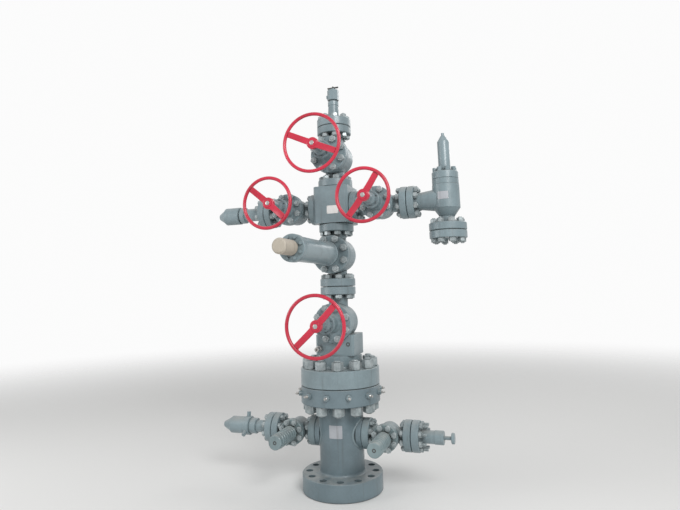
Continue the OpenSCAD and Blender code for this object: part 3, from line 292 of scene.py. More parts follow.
def thread(radius: float, length: float, pitch: float) -> np.ndarray:
    """Shapes a threaded rod end that stands up from local z = 0 and closes in a chamfer.

    At height z and angle a the radius is R - d |2 frac(z / pitch - a / 2 pi) - 1|, with d the
    thread's depth.

    Args:
        radius: Outer radius of the thread.
        length: Length of the rod end.
        pitch: Height of one turn of the thread.

    Returns:
        The grid, closed at its top by rows that shrink to the axis.
    """
    rows = max(THREAD_STEPS, int(THREAD_STEPS * length / pitch))
    heights = np.linspace(0.0, length - pitch, rows)
    phase = np.mod(heights[:, None] / pitch - angles(THREAD_POINTS) / FULL_TURN, 1.0)
    rings = radius - THREAD_DEPTH * pitch * np.abs(2.0 * phase - 1.0)
    tip = np.outer((ROD_TIP * radius, 0.0), np.ones(THREAD_POINTS))
    return around(np.vstack([rings, tip]), np.append(heights, (length, length))[:, None])


def box_section(width: float, height: float, corner: float, steps: int = 3) -> np.ndarray:
    """Gives a rectangle with round corners, anticlockwise from its right side.

    Corner k adds corner (cos a, sin a) to its middle, with a from k to k + 1 quarter turns.

    Args:
        width: Size along local X.
        height: Size along local Y.
        corner: Radius of the corners.
        steps: Segments in each corner.

    Returns:
        The outline in the shape (n, 2).
    """
    turn = np.linspace(0.0, QUARTER, steps + 1) + np.arange(4)[:, None] * QUARTER
    middles = np.array([[1, 1], [-1, 1], [-1, -1], [1, -1]]) * (width / 2 - corner,
                                                               height / 2 - corner)
    arcs = corner * np.stack([np.cos(turn), np.sin(turn)], -1)
    return (arcs + middles[:, None]).reshape(-1, 2)


def resampled(section: np.ndarray, count: int) -> np.ndarray:
    """Spreads points evenly along a closed outline.

    Args:
        section: The outline in the shape (n, 2).
        count: How many points it gets.

    Returns:
        The new outline in the shape (count, 2).
    """
    loop = np.vstack([section, section[:1]])
    run = np.concatenate([[0.0], np.cumsum(np.linalg.norm(np.diff(loop, axis=0), axis=1))])
    at = np.arange(count) * (run[-1] / count)
    return np.stack([np.interp(at, run, loop[:, 0]), np.interp(at, run, loop[:, 1])], -1)


def prism(section: np.ndarray, levels: Profile) -> np.ndarray:
    """Stacks scaled copies of an outline: (s x, s y, z) for each level (s, z)."""
    return np.stack([np.column_stack([section * scale, np.full(len(section), height)])
                     for scale, height in levels])


def bent(grid: np.ndarray, radius: float) -> np.ndarray:
    """Bends a grid round a cylinder: x = (R + z) sin(x / R), z = (R + z) cos(x / R) - R."""
    turn, out = grid[..., 0] / radius, grid[..., 2] + radius
    return np.stack([out * np.sin(turn), grid[..., 1], out * np.cos(turn) - radius], -1)


class Effect(Enum):
    """The surface effects that the finishes share, each a shader node group of that name."""

    MOTTLE = "cloudy_mottle"
    EDGES = "worn_edges"
    # Grime that also paints shade: its mask follows ambient occlusion in corners and between
    # parts.
    GRIME = "corner_grime"
    DUST = "settled_dust"
    RUNS = "down_runs"
    SKIN = "paint_skin"
    SOFT = "eased_edges"


class Sheet:
    """A short hand for adding and joining shader nodes in one node tree."""

    def __init__(self, tree: bpy.types.NodeTree) -> None:
        """Works on that node tree."""
        self.tree = tree

    def fill(self, node: bpy.types.Node, inputs: dict[str | int, object]) -> None:
        """Fills inputs of a node.

        Args:
            node: The node.
            inputs: Input name or number to a plain value or to another node's output.
        """
        for key, value in inputs.items():
            if isinstance(value, Socket):
                self.tree.links.new(value, node.inputs[key])
            else:
                node.inputs[key].default_value = value

    def node(self, kind: str, inputs: dict[str | int, object] | None = None,
             **options: object) -> bpy.types.Node:
        """Adds a node, sets its options and fills its inputs.

        Args:
            kind: The node's type, without the leading "ShaderNode".
            inputs: What its inputs get, as in `fill`.
            **options: Attributes of the node itself.

        Returns:
            The new node.
        """
        made = self.tree.nodes.new("ShaderNode" + kind)
        for name, value in options.items():
            setattr(made, name, value)
        self.fill(made, inputs or {})
        return made

    @property
    def place(self) -> Socket:
        """The object's own coordinates."""
        return self.node("TexCoord").outputs["Object"]

    @property
    def normal(self) -> Socket:
        """The surface's own normal."""
        return self.node("NewGeometry").outputs["Normal"]

    @property
    def up(self) -> Socket:
        """How far the surface faces up, from -1 to 1."""
        return self.node("SeparateXYZ", {0: self.normal}).outputs["Z"]

    def math(self, operation: str, *values: object, clamp: bool = False) -> Socket:
        """Adds a Math node over those values and gives its output."""
        inputs = dict(enumerate(values))
        return self.node("Math", inputs, operation=operation, use_clamp=clamp).outputs[0]

    def blend(self, factor: Socket, low: object, high: object) -> Socket:
        """Adds a colour mix and gives its output."""
        return self.node("Mix", {0: factor, 6: low, 7: high}, data_type="RGBA").outputs[2]

    def ramp(self, value: Socket, low: float, high: float) -> Socket:
        """Adds a smooth step from 0 at `low` to 1 at `high`."""
        inputs = {0: value, 1: low, 2: high}
        return self.node("MapRange", inputs, interpolation_type="SMOOTHSTEP").outputs[0]

    def noise(self, place: Socket, scale: object, detail: float = 3.0,
              rough: float = 0.55) -> Socket:
        """Adds a noise texture and gives its value."""
        inputs = {"Vector": place, "Scale": scale, "Detail": detail, "Roughness": rough}
        return self.node("TexNoise", inputs).outputs[0]

    def rounded(self, radius: object) -> Socket:
        """Gives the normal that a small rounding of the edges would leave."""
        return self.node("Bevel", {"Radius": radius}, samples=4).outputs[0]

    def effect(self, kind: Effect, **values: float) -> Socket:
        """Places a shared effect, its inputs by lower-case name, and gives its output."""
        inputs = {name.capitalize(): value for name, value in values.items()}
        return self.node("Group", inputs, node_tree=bpy.data.node_groups[kind.value]).outputs[0]

    def bump(self, height: Socket, strength: float, distance: float, ease: float) -> Socket:
        """Adds a Bump node over eased edges and gives its normal."""
        inputs = {"Strength": strength, "Distance": distance, "Height": height,
                  "Normal": self.effect(Effect.SOFT, radius=ease)}
        return self.node("Bump", inputs).outputs[0]


class GroupSheet(Sheet):
    """A sheet for a new shader node group with float inputs and one output."""

    def __init__(self, effect: Effect, output: str, *inputs: str) -> None:
        """Starts the group.

        Args:
            effect: The effect that it holds.
            output: The name of its output, a vector where that is Normal.
            *inputs: The names of its inputs.
        """
        super().__init__(bpy.data.node_groups.new(effect.value, "ShaderNodeTree"))
        sockets = self.tree.interface
        for name in inputs:
            sockets.new_socket(name, in_out="INPUT", socket_type="NodeSocketFloat")
        kind = "NodeSocketVector" if output == "Normal" else "NodeSocketFloat"
        sockets.new_socket(output, in_out="OUTPUT", socket_type=kind)
        self.given = self.tree.nodes.new("NodeGroupInput").outputs

    def close(self, made: Socket) -> None:
        """Takes that socket as the group's output."""
        self.tree.links.new(made, self.tree.nodes.new("NodeGroupOutput").inputs[0])

    def close_by_amount(self, mask: Socket) -> None:
        """Takes a mask times the group's Amount as its output."""
        self.close(self.math("MULTIPLY", mask, self.given["Amount"], clamp=True))


class MaterialSheet(Sheet):
    """A sheet for a new material that holds one Principled shader."""

    def __init__(self, name: str) -> None:
        """Makes the material of that name."""
        self.material = bpy.data.materials.new(name)
        self.material.use_nodes = True
        super().__init__(self.material.node_tree)

    def shaded(self, inputs: dict[str | int, object]) -> Material:
        """Fills the shader's inputs and gives the material."""
        self.fill(self.tree.nodes["Principled BSDF"], inputs)
        return self.material


class Effects:
    """Builders of the shared effects, none of which has a shader in it."""

    def build(self) -> None:
        """Builds every group."""
        for effect in (self._mottle, self._edges, self._grime, self._dust, self._runs,
                       self._skin, self._soft):
            effect()

    @staticmethod
    def _mottle() -> None:
        """Cloudy variation: a coarse noise with a finer one laid over it."""
        group = GroupSheet(Effect.MOTTLE, "Value", "Scale", "Fine")
        coarse = group.noise(group.place, group.given["Scale"], 4.0)
        fine = group.noise(group.place, group.given["Fine"], 5.0, 0.65)
        total = group.math("ADD", coarse, group.math("MULTIPLY_ADD", fine, 0.35, -0.175),
                           clamp=True)
        group.close(group.ramp(total, 0.28, 0.72))

    @staticmethod
    def _edges() -> None:
        """Worn edges: where a rounded normal leaves the true one, broken up by noise."""
        group = GroupSheet(Effect.EDGES, "Mask", "Radius", "Amount")
        normals = {0: group.rounded(group.given["Radius"]), 1: group.normal}
        facing = group.node("VectorMath", normals, operation="DOT_PRODUCT").outputs["Value"]
        edge = group.ramp(group.math("SUBTRACT", 1.0, facing), 0.02, 0.16)
        breaks = group.noise(group.place, 38.0, 6.0, 0.7)
        threshold = group.math("SUBTRACT", 0.86, group.math("MULTIPLY", group.given["Amount"],
                                                            0.5))
        kept = group.ramp(group.math("SUBTRACT", breaks, threshold), -0.03, 0.03)
        group.close(group.math("MULTIPLY", edge, kept, clamp=True))

    @staticmethod
    def _grime() -> None:
        """A mask of dirt and painted shade in corners: occluded places, where shade falls, broken
        up by noise.
        """
        group = GroupSheet(Effect.GRIME, "Mask", "Reach", "Amount")
        reach = {"Distance": group.given["Reach"]}
        shade = group.node("AmbientOcclusion", reach, samples=6).outputs["AO"]
        closed = group.ramp(group.math("SUBTRACT", 1.0, shade), 0.25, 0.9)
        patch = group.ramp(group.noise(group.place, 14.0, 5.0, 0.6), 0.3, 0.7)
        patch = group.math("MULTIPLY_ADD", patch, 0.6, 0.4)
        group.close_by_amount(group.math("MULTIPLY", closed, patch))

    @staticmethod
    def _dust() -> None:
        """Dust on what faces up: the normal's height, broken up by noise."""
        group = GroupSheet(Effect.DUST, "Mask", "Amount")
        patch = group.ramp(group.noise(group.place, 9.0, 6.0, 0.62), 0.25, 0.75)
        group.close_by_amount(group.math("MULTIPLY", group.ramp(group.up, 0.35, 0.95), patch))

    @staticmethod
    def _runs() -> None:
        """Streaks that run down: noise squeezed across and stretched along the height."""
        group = GroupSheet(Effect.RUNS, "Mask", "Amount")
        drawn = group.node("Mapping", {"Vector": group.place, "Scale": (34.0, 34.0, 2.2)})
        streak = group.ramp(group.noise(drawn.outputs[0], 1.0), 0.56, 0.74)
        wall = group.math("SUBTRACT", 1.0, group.math("ABSOLUTE", group.up), clamp=True)
        group.close_by_amount(group.math("MULTIPLY", streak, wall))

    @staticmethod
    def _skin() -> None:
        """Skin of sprayed paint over a cast or forged face, as a height."""
        group = GroupSheet(Effect.SKIN, "Height", "Scale", "Cast")
        skin = group.noise(group.place, group.given["Scale"], 2.0)
        cast = group.noise(group.place, 48.0, 5.0, 0.6)
        lumps = group.math("MULTIPLY", cast, group.given["Cast"])
        group.close(group.math("ADD", skin, lumps))

    @staticmethod
    def _soft() -> None:
        """Edges that look eased: the normal as a small rounding would leave it."""
        group = GroupSheet(Effect.SOFT, "Normal", "Radius")
        group.close(group.rounded(group.given["Radius"]))


def rgba(colour: Colour) -> tuple[float, float, float, float]:
    """Gives a colour its full alpha."""
    return (*colour, 1.0)


@dataclass(frozen=True)
class Enamel:
    """Sprayed enamel over steel, with chipped edges, grime with painted shade in the corners,
    dust and runs.
    """

    name: str
    colour: Colour
    shade: Colour
    bare: Colour = (0.30, 0.29, 0.27)
    # Colour of the runs, and of the corner grime that also paints shade.
    dirt_and_shade: Colour = (0.075, 0.07, 0.06)
    dust: Colour = (0.46, 0.44, 0.40)
    roughness: float = 0.34
    spread: float = 0.14
    chips: float = 0.45
    grime: float = 0.75
    reach: float = 0.06
    dusty: float = 0.45
    runs: float = 0.25
    cast: float = 0.6
    bump: float = 0.12
    coat: float = 0.25
    coat_roughness: float = 0.18
    ease: float = 0.0022

    def build(self) -> None:
        """Builds the material from the shared effects."""
        sheet = MaterialSheet(self.name)
        mottle = sheet.effect(Effect.MOTTLE, scale=5.0, fine=70.0)
        chip = sheet.effect(Effect.EDGES, radius=0.0035, amount=self.chips)
        grime = sheet.effect(Effect.GRIME, reach=self.reach, amount=self.grime)
        dust = sheet.effect(Effect.DUST, amount=self.dusty)
        runs = sheet.effect(Effect.RUNS, amount=self.runs)
        skin = sheet.effect(Effect.SKIN, scale=300.0, cast=self.cast)
        colour = sheet.blend(mottle, rgba(self.shade), rgba(self.colour))
        # The grime mask paints shade: it darkens occluded corners towards the dirt colour.
        for mask, laid in ((runs, self.dirt_and_shade), (dust, self.dust), (grime, self.dirt_and_shade),
                           (chip, self.bare)):
            colour = sheet.blend(mask, colour, rgba(laid))
        gloss = sheet.math("MULTIPLY_ADD", mottle, -self.spread,
                           self.roughness + self.spread / 2)
        matt = sheet.math("MULTIPLY", sheet.math("ADD", dust, grime), 0.3)
        height = sheet.math("SUBTRACT", skin, sheet.math("MULTIPLY", chip, 0.5))
        sheet.shaded({
            "Base Color": colour,
            "Roughness": sheet.math("ADD", gloss, matt, clamp=True),
            "Metallic": sheet.math("MULTIPLY", chip, 0.8),
            "Normal": sheet.bump(height, self.bump, 0.004, self.ease),
            "Coat Weight": self.coat,
            "Coat Roughness": self.coat_roughness,
        })


@dataclass(frozen=True)
class Metal:
    """Bare or plated metal with stains, fine scratches, and grime with painted shade in its
    corners.
    """

    name: str
    colour: Colour
    stain: Colour
    # Colour of the corner grime, which also paints shade.
    dirt_and_shade: Colour = (0.05, 0.045, 0.04)
    roughness: float = 0.32
    metallic: float = 0.9
    stained: float = 0.35
    grime: float = 0.7
    grain: float = 180.0
    bump: float = 0.08
    ease: float = 0.0008

    def build(self) -> None:
        """Builds the material from the shared effects."""
        sheet = MaterialSheet(self.name)
        mottle = sheet.effect(Effect.MOTTLE, scale=30.0, fine=self.grain)
        grime = sheet.effect(Effect.GRIME, reach=0.02, amount=self.grime)
        skin = sheet.effect(Effect.SKIN, scale=420.0, cast=0.2)
        stains = sheet.math("MULTIPLY", mottle, self.stained)
        colour = sheet.blend(stains, rgba(self.colour), rgba(self.stain))
        # The grime mask darkens occluded corners: painted shade.
        sheet.shaded({
            "Base Color": sheet.blend(grime, colour, rgba(self.dirt_and_shade)),
            "Roughness": sheet.math("MULTIPLY_ADD", sheet.math("ADD", stains, grime), 0.4,
                                    self.roughness, clamp=True),
            "Metallic": sheet.math("MULTIPLY_ADD", grime, -0.6, self.metallic, clamp=True),
            "Normal": sheet.bump(skin, self.bump, 0.002, self.ease),
        })


class Finish(Enum):
    """Every finish of the stack."""

    GREY = Enamel("grey_enamel", (0.232, 0.304, 0.330), (0.176, 0.232, 0.252))
    FORGED = Enamel("grey_enamel_on_casting", (0.218, 0.288, 0.312), (0.165, 0.220, 0.240),
                    cast=1.3, bump=0.2, roughness=0.40, ease=0.006)
    # A darker copy of the grey enamel, for the tubing head at the foot of the stack.
    HEAD = Enamel("grey_enamel_on_head", (0.160, 0.218, 0.245), (0.124, 0.172, 0.194),
                  cast=1.3, bump=0.2, roughness=0.40, ease=0.006)
    # Strong grime of short reach paints shade into the grooves between the ribs.
    RIBBED = Enamel("grey_enamel_on_ribs", (0.218, 0.288, 0.302), (0.165, 0.220, 0.232),
                    grime=1.6, reach=0.018, roughness=0.40)
    RED = Enamel("red_wheel_enamel", (0.62, 0.024, 0.062), (0.47, 0.016, 0.042),
                 bare=(0.20, 0.17, 0.15), dust=(0.55, 0.33, 0.31), roughness=0.30, chips=0.30,
                 grime=0.5, dusty=0.20, runs=0.08, cast=0.3, coat=0.2)
    STEEL = Metal("turned_steel", (0.56, 0.56, 0.55), (0.28, 0.25, 0.21), roughness=0.28)
    PLATED = Metal("painted_plated_steel", (0.42, 0.465, 0.475), (0.23, 0.275, 0.285),
                   roughness=0.36, metallic=0.5, stained=0.8)
    COVER = Enamel("off_white_cover", (0.468, 0.423, 0.352), (0.378, 0.334, 0.275),
                   bare=(0.4, 0.38, 0.34), roughness=0.62, chips=0.0, grime=0.6, runs=0.35,
                   cast=1.0, bump=0.3, coat=0.0)
    DARK = Metal("blackened_steel", (0.09, 0.095, 0.095), (0.16, 0.15, 0.13),
                 roughness=0.45, metallic=0.7)
    PLATE = Enamel("bare_white_plate", (0.80, 0.80, 0.79), (0.72, 0.72, 0.70),
                   bare=(0.5, 0.5, 0.5), roughness=0.4, chips=0.2, grime=0.6, dusty=0.2,
                   runs=0.2, cast=0.1, bump=0.05, coat=0.1)
    WORN_PLATE = Enamel("bare_grey_plate", (0.43, 0.45, 0.48), (0.37, 0.39, 0.42),
                        bare=(0.3, 0.3, 0.3), roughness=0.36, chips=0.2, grime=0.7, runs=0.3,
                        cast=0.1, bump=0.05, coat=0.1)

    @property
    def material(self) -> Material:
        """The finish's material, once it is built."""
        return bpy.data.materials[self.value.name]


@dataclass(frozen=True)
class Span:
    """The box of one solid of the frame."""

    low: Vector
    high: Vector

    @classmethod
    def of(cls, node: str) -> Span:
        """Reads the box of a node."""
        return cls(*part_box(node))

    @property
    def middle(self) -> Vector:
        """The centre of the box."""
        return (self.low + self.high) / 2

    @property
    def front(self) -> Place:
        """The middle of the front face."""
        return (self.middle.x, self.low.y, self.middle.z)

    @property
    def back(self) -> Place:
        """The middle of the back face."""
        return (self.middle.x, self.high.y, self.middle.z)


class Valves(Enum):
    """The valves of each size, by the starts of their nodes' names."""

    RUN = ("lower_master", "upper_master", "swab")
    WING = ("left_wing", "right_wing")
    SIDE = ("left_side_valve", "right_side_valve")


@dataclass(frozen=True)
class Bolts:
    """A kind of bolt circle, with the sizes of its studs and nuts.

    `height` is the nut's, `tail` is what stands out beyond it, and `spread` is the range of the
    nuts' turns in radians.
    """

    circle: float
    diameter: float
    across: float
    height: float
    tail: float = 0.008
    pitch: float = 0.0034
    count: int = 8
    spread: float = 1.0


HEAD_BOLTS = Bolts(0.4826, 0.0470, 0.074, 0.0600, 0.011, 0.0042, 12, 0.25)
RUN_BOLTS = Bolts(0.2032, 0.0286, 0.046, 0.0286)
WING_BOLTS = Bolts(0.1905, 0.0254, 0.041, 0.0254)
SIDE_BOLTS = Bolts(0.1651, 0.0222, 0.036, 0.0222)
LONG_SIDE_BOLTS = replace(SIDE_BOLTS, tail=0.042)


@dataclass(frozen=True)
class StudRing:
    """One bolt circle at a joint plane, with the metal that it grips ahead and behind."""

    centre: Place
    axis: Axis
    bolts: Bolts
    ahead: float
    behind: float | None = None

    def add_to(self, surfaces: Surfaces, random: np.random.Generator) -> None:
        """Adds the ring's studs and nuts.

        Args:
            surfaces: The piece that they join.
            random: Source of the small differences between nuts.
        """
        base = placed(self.centre, self.axis)
        ends = [(self.axis, 1, self.ahead)]
        if self.behind is not None:
            ends.append((OPPOSITE[self.axis], -1, self.behind))
        for number in range(self.bolts.count):
            turn = (number + 0.5) * FULL_TURN / self.bolts.count
            spot = np.array([math.cos(turn), math.sin(turn), 0.0]) * self.bolts.circle / 2
            origin = base[:3, :3] @ spot + base[:3, 3]
            for axis, sign, grip in ends:
                spin = sign * (turn + QUARTER) + self.bolts.spread * random.uniform(-0.5, 0.5)
                lift = moved_on(placed(origin, axis, spin), grip)
                self._add_end(surfaces, lift, grip, random.uniform(*TAIL_RANGE))

    def _add_end(self, surfaces: Surfaces, lift: np.ndarray, grip: float, out: float) -> None:
        """Adds the nut, the shank and the threaded end on one side of the joint.

        Args:
            surfaces: The piece that they join.
            lift: Places the nut's foot.
            grip: How far the nut's foot is from the joint plane.
            out: Share of the tail that stands out beyond the nut.
        """
        size, radius = self.bolts, self.bolts.diameter / 2
        surfaces.add(nut(size.across, size.height, radius * NUT_BORE), lift, True)
        shank, foot = radius * SHANK, SHANK_GAP - grip
        surfaces.add(turned([(0.0, foot), (shank, foot), (shank, EDGE), (0.0, EDGE)], 16), lift)
        length = size.height * (1 - NUT_FILL) + size.tail * out
        surfaces.add(thread(radius, length, size.pitch),
                     moved_on(lift, size.height * NUT_FILL))


@dataclass
class Bolting:
    """All the studs of the stack, in one piece for each of the frame's stud nodes."""

    head_flange: float = 0.122
    adapter_flange: float = 0.125
    run_flange: float = 0.060
    cap_flange: float = 0.066
    wing_flange: float = 0.053
    side_flange: float = 0.054
    choke_flange: float = 0.056
    run_bonnet: tuple[float, float] = (0.238, 0.038)
    wing_bonnet: tuple[float, float] = (0.202, 0.032)
    side_bonnet: tuple[float, float] = (0.152, 0.026)

    def build(self) -> None:
        """Builds the five pieces of studs."""
        random = np.random.default_rng(11)
        for node, rings in self._rings().items():
            surfaces = Surfaces(node.replace("studs", "nuts_and_studs"))
            for ring in rings:
                ring.add_to(surfaces, random)
            surfaces.build(Finish.PLATED, TREE, "plated_steel", (node,))

    def _rings(self) -> dict[str, list[StudRing]]:
        """Lists the rings of every piece.

        Returns:
            The rings, under the names of the frame's stud nodes.
        """
        head, upper, cross, swab, choke, right, left, right_side, left_side = map(Span.of, (
            "tubing_head_spool", "upper_master_body", "cross_block", "swab_body",
            "choke_outlet_flange", "right_wing_body", "left_wing_body",
            "right_side_valve_body", "left_side_valve_body"))
        wing_z = Span.of("left_wing_end_plug").middle.z
        side_z = Span.of("right_side_end_plug").middle.z
        run, wing, side = self.run_flange, self.wing_flange, self.side_flange
        return {
            "head_flange_studs": [
                StudRing((0, 0, head.high.z), Axis.UP, HEAD_BOLTS, self.adapter_flange,
                         self.head_flange)],
            "run_flange_studs": [
                StudRing((0, 0, upper.low.z), Axis.UP, RUN_BOLTS, run, run),
                StudRing((0, 0, cross.low.z), Axis.DOWN, RUN_BOLTS, run),
                StudRing((0, 0, cross.high.z), Axis.UP, RUN_BOLTS, run),
                StudRing((0, 0, swab.high.z), Axis.UP, RUN_BOLTS, self.cap_flange, run)],
            "wing_flange_studs": [
                StudRing((cross.high.x, 0, wing_z), Axis.RIGHT, WING_BOLTS, wing),
                StudRing((cross.low.x, 0, wing_z), Axis.LEFT, WING_BOLTS, wing),
                StudRing((right.high.x, 0, wing_z), Axis.RIGHT, WING_BOLTS, wing, wing),
                StudRing((left.low.x, 0, wing_z), Axis.LEFT, WING_BOLTS, wing, wing),
                StudRing((choke.middle.x, 0, choke.high.z), Axis.UP, RUN_BOLTS,
                         self.choke_flange, self.choke_flange)],
            "side_flange_studs": [
                StudRing((right_side.low.x, 0, side_z), Axis.RIGHT, SIDE_BOLTS, side),
                StudRing((left_side.high.x, 0, side_z), Axis.LEFT, SIDE_BOLTS, side),
                StudRing((right_side.high.x, 0, side_z), Axis.LEFT, SIDE_BOLTS, side),
                StudRing((right_side.high.x, 0, side_z), Axis.RIGHT, LONG_SIDE_BOLTS, side),
                StudRing((left_side.low.x, 0, side_z), Axis.LEFT, SIDE_BOLTS, side, side)],
            "bonnet_studs": [
                StudRing(Span.of(valve + "_bonnet").back, Axis.FRONT,
                         replace(bolts, circle=width), thick)
                for valves, bolts, (width, thick) in (
                    (Valves.RUN, RUN_BOLTS, self.run_bonnet),
                    (Valves.WING, WING_BOLTS, self.wing_bonnet),
                    (Valves.SIDE, SIDE_BOLTS, self.side_bonnet))
                for valve in valves.value],
        }


@dataclass
class Handwheel:
    """A handwheel with its stem: round rim, one flat spoke bar that bows back, and a hub."""

    name: str
    diameter: float
    turn: float
    rim: float = 0.025
    bar_width: float = 0.047
    bar_thick: float = 0.013
    bar_corner: float = 0.0035
    bar_taper: float = 0.08
    bar_level: float = 0.018
    dish: float = -0.016
    hub: float = 0.086
    hub_span: tuple[float, float] = (-0.050, -0.008)
    hub_edge: float = 0.004
    washer: float = 0.062
    washer_thick: float = 0.004
    bead: float = 0.0035
    weld_width: float = 0.93
    weld_rise: float = 0.001
    weld_corner: float = 0.005
    stem: float = 0.032
    stem_end: float = 0.0165
    hexagon: tuple[float, float, float] = (0.030, 0.0035, 0.0002)

    @property
    def reach(self) -> float:
        """Radius of the rim's middle line."""
        return (self.diameter - self.rim) / 2

    def build(self) -> None:
        """Builds the wheel over its node of the frame, and then its stem."""
        surfaces = Surfaces(self.name + "_wheel")
        span = Span.of(self.name + "_handwheel")
        centre = (span.middle.x, span.low.y + self.rim / 2, span.middle.z)
        frame = placed(centre, Axis.FRONT, math.radians(self.turn))
        surfaces.add(self._rim(), frame, True)
        surfaces.add(self._bar(), frame)
        surfaces.add(self._hub(), frame, True)
        surfaces.add(self._washer(), moved_on(frame, self.hub_span[1]), True)
        for side in (-1, 1):
            surfaces.add(self._weld(side), frame, True)
        surfaces.build(Finish.RED, self.name + "_wheel", "handwheel_red",
                       (self.name + "_handwheel",))
        self._build_stem(span.low.y + self.stem_end)

    def _build_stem(self, front: float) -> None:
        """Builds the stem from its housing to the hexagon in front of the washer.

        Args:
            front: Where the stem ends along Y.
        """
        surfaces = Surfaces(self.name + "_stem_and_hexagon")
        span = Span.of(self.name + "_stem")
        base, length, radius = placed(span.back, Axis.FRONT), span.high.y - front, self.stem / 2
        surfaces.add(turned([(0.0, 0.0), (radius, 0.0), (radius, length), (0.0, length)], 48),
                     base)
        surfaces.add(nut(*self.hexagon), moved_on(base, length - SEAT), True)
        surfaces.build(Finish.STEEL, self.name + "_wheel", "bare_steel", (self.name + "_stem",))

    def _rim(self) -> np.ndarray:
        """Gives the rim: (R + r cos b) turned round Z, with z = r sin b."""
        return turned(circle(self.rim / 2, 20)[:, :2] + (self.reach, 0.0), 144)

    def _bar(self) -> np.ndarray:
        """Shapes the spoke bar, whose middle line goes back to the hub as a smooth step.

        Returns:
            The grid, its rows along the bar and closed at both ends.
        """
        end = self.reach - self.rim / 4
        along = np.linspace(-end, end, 61)
        out = np.abs(along)
        rise = np.clip((end - out) / (end - self.hub / 2 - self.bar_level), 0, 1)
        section = box_section(self.bar_width, self.bar_thick, self.bar_corner)
        grid = np.empty((len(along), len(section), 3))
        grid[..., 0] = along[:, None]
        grid[..., 1] = section[:, 0] * (1.0 - self.bar_taper * (out / end))[:, None]
        grid[..., 2] = (self.dish * rise * rise * (3 - 2 * rise))[:, None] + section[:, 1]
        middle = np.broadcast_to(grid.mean(1, keepdims=True), grid.shape)
        return np.concatenate([middle[:1], grid, middle[-1:]])

    def _hub(self) -> np.ndarray:
        """Turns the hub, a closed ring with eased edges round the stem's hole."""
        (low, high), outer, inner, edge = self.hub_span, self.hub / 2, self._bore, self.hub_edge
        return turned(eased([(inner, low), (outer - edge, low), (outer, low + 2.5 * edge),
                             (outer, high - edge), (outer - 1.5 * edge, high), (inner, high)],
                            edge))

    def _washer(self) -> np.ndarray:
        """Turns the painted washer on the hub's face, a closed ring."""
        outer, inner, thick = self.washer / 2, self._bore, self.washer_thick
        return turned([(inner, -EDGE), (outer, -EDGE), (outer, thick - EDGE),
                       (outer - EDGE, thick), (inner, thick)], 56)

    @property
    def _bore(self) -> float:
        """Radius of the hole that the stem passes through."""
        return self.stem / 2 + SEAT

    def _weld(self, side: int) -> np.ndarray:
        """Shapes the bead round a bar's end where it meets the rim, a rough thin tube.

        A circle is carried along the bar's outline, square to it: its first axis is Y x ahead
        and its second is ahead x first.

        Args:
            side: -1 or 1, for the end of the bar.

        Returns:
            The grid of a closed ring whose rows wrap.
        """
        loop = box_section(self.bar_width * self.weld_width,
                           self.bar_thick + 2 * self.weld_rise, self.weld_corner, 6)[::side]
        place = np.full(len(loop), side * (self.reach - self.rim / 2 + EDGE))
        path = np.column_stack([place, loop])
        ahead = np.roll(path, -1, 0) - np.roll(path, 1, 0)
        ahead /= np.linalg.norm(ahead, axis=1, keepdims=True)
        first = np.cross((0.0, 1.0, 0.0), ahead)
        first /= np.linalg.norm(first, axis=1, keepdims=True)
        ring = circle(self.bead, 8)
        return (path[:, None] + ring[:, :1] * first[:, None]
                + ring[:, 1:2] * np.cross(ahead, first)[:, None])


@dataclass(frozen=True)
class Fillet:
    """A rounded web where a neck of one radius meets a wider barrel square to it."""

    neck: float
    barrel: float
    size: float
    inside: float = 0.96
    sink: float = 0.004

    def _on_barrel(self, radius: float) -> np.ndarray:
        """Gives the ring at a distance round the neck, with z = sqrt(B^2 - x^2)."""
        ring = circle(radius, 96)
        return ring + np.sqrt(self.barrel ** 2 - ring[:, :1] ** 2) * (0.0, 0.0, 1.0)

    def grid(self) -> np.ndarray:
        """Gives the closed ring of the web, the neck along local Z and the barrel along Y.

        The web runs from a point on the barrel at radius N + size, by way of the ring where
        the two cylinders meet, to a point `size` up the neck, and closes through a point
        inside the metal.

        Returns:
            The grid of a closed ring whose rows wrap.
        """
        meet = self._on_barrel(self.neck)
        web = curved(self._on_barrel(self.neck + self.size), meet,
                     meet + (0.0, 0.0, self.size), 8)
        hidden = meet * (self.inside, self.inside, 1.0) - (0.0, 0.0, self.sink)
        return np.concatenate([web, hidden[None]])


@dataclass
class Castings:
    """The rounded webs of the forged valve bodies and of the tubing head."""

    run: Fillet = Fillet(0.073, 0.125, 0.020)
    wing: Fillet = Fillet(0.065, 0.103, 0.016)
    side: Fillet = Fillet(0.055, 0.075, 0.010)
    outlet: Fillet = Fillet(0.107, 0.162, 0.008)

    def build(self) -> None:
        """Adds the webs of the run, the wings, the side valves and the head."""
        surfaces = Surfaces("forged_webs")
        barrel = (0, 1, 0)
        upright, level = (Axis.UP, Axis.DOWN), (Axis.LEFT, Axis.RIGHT)
        for valves, web, ways, plug in ((Valves.RUN, self.run, upright, ""),
                                        (Valves.WING, self.wing, level, "left_wing_end_plug"),
                                        (Valves.SIDE, self.side, level, "right_side_end_plug")):
            for valve in valves.value:
                height = Span.of(plug or valve + "_bonnet").middle.z
                centre = (Span.of(valve + "_body").middle.x if plug else 0, 0, height)
                for way in ways:
                    if (valve, way) != ("lower_master", Axis.DOWN):
                        across = np.cross(barrel, np.cross(*way.value))
                        surfaces.add(web.grid(), framed(across, barrel, centre), True)
        height = Span.of("right_side_end_plug").middle.z
        for way in level:
            surfaces.add(self.outlet.grid(), placed((0, 0, height), way), True)
        surfaces.build(Finish.FORGED, TREE, "grey_paint", sharp=50.0)


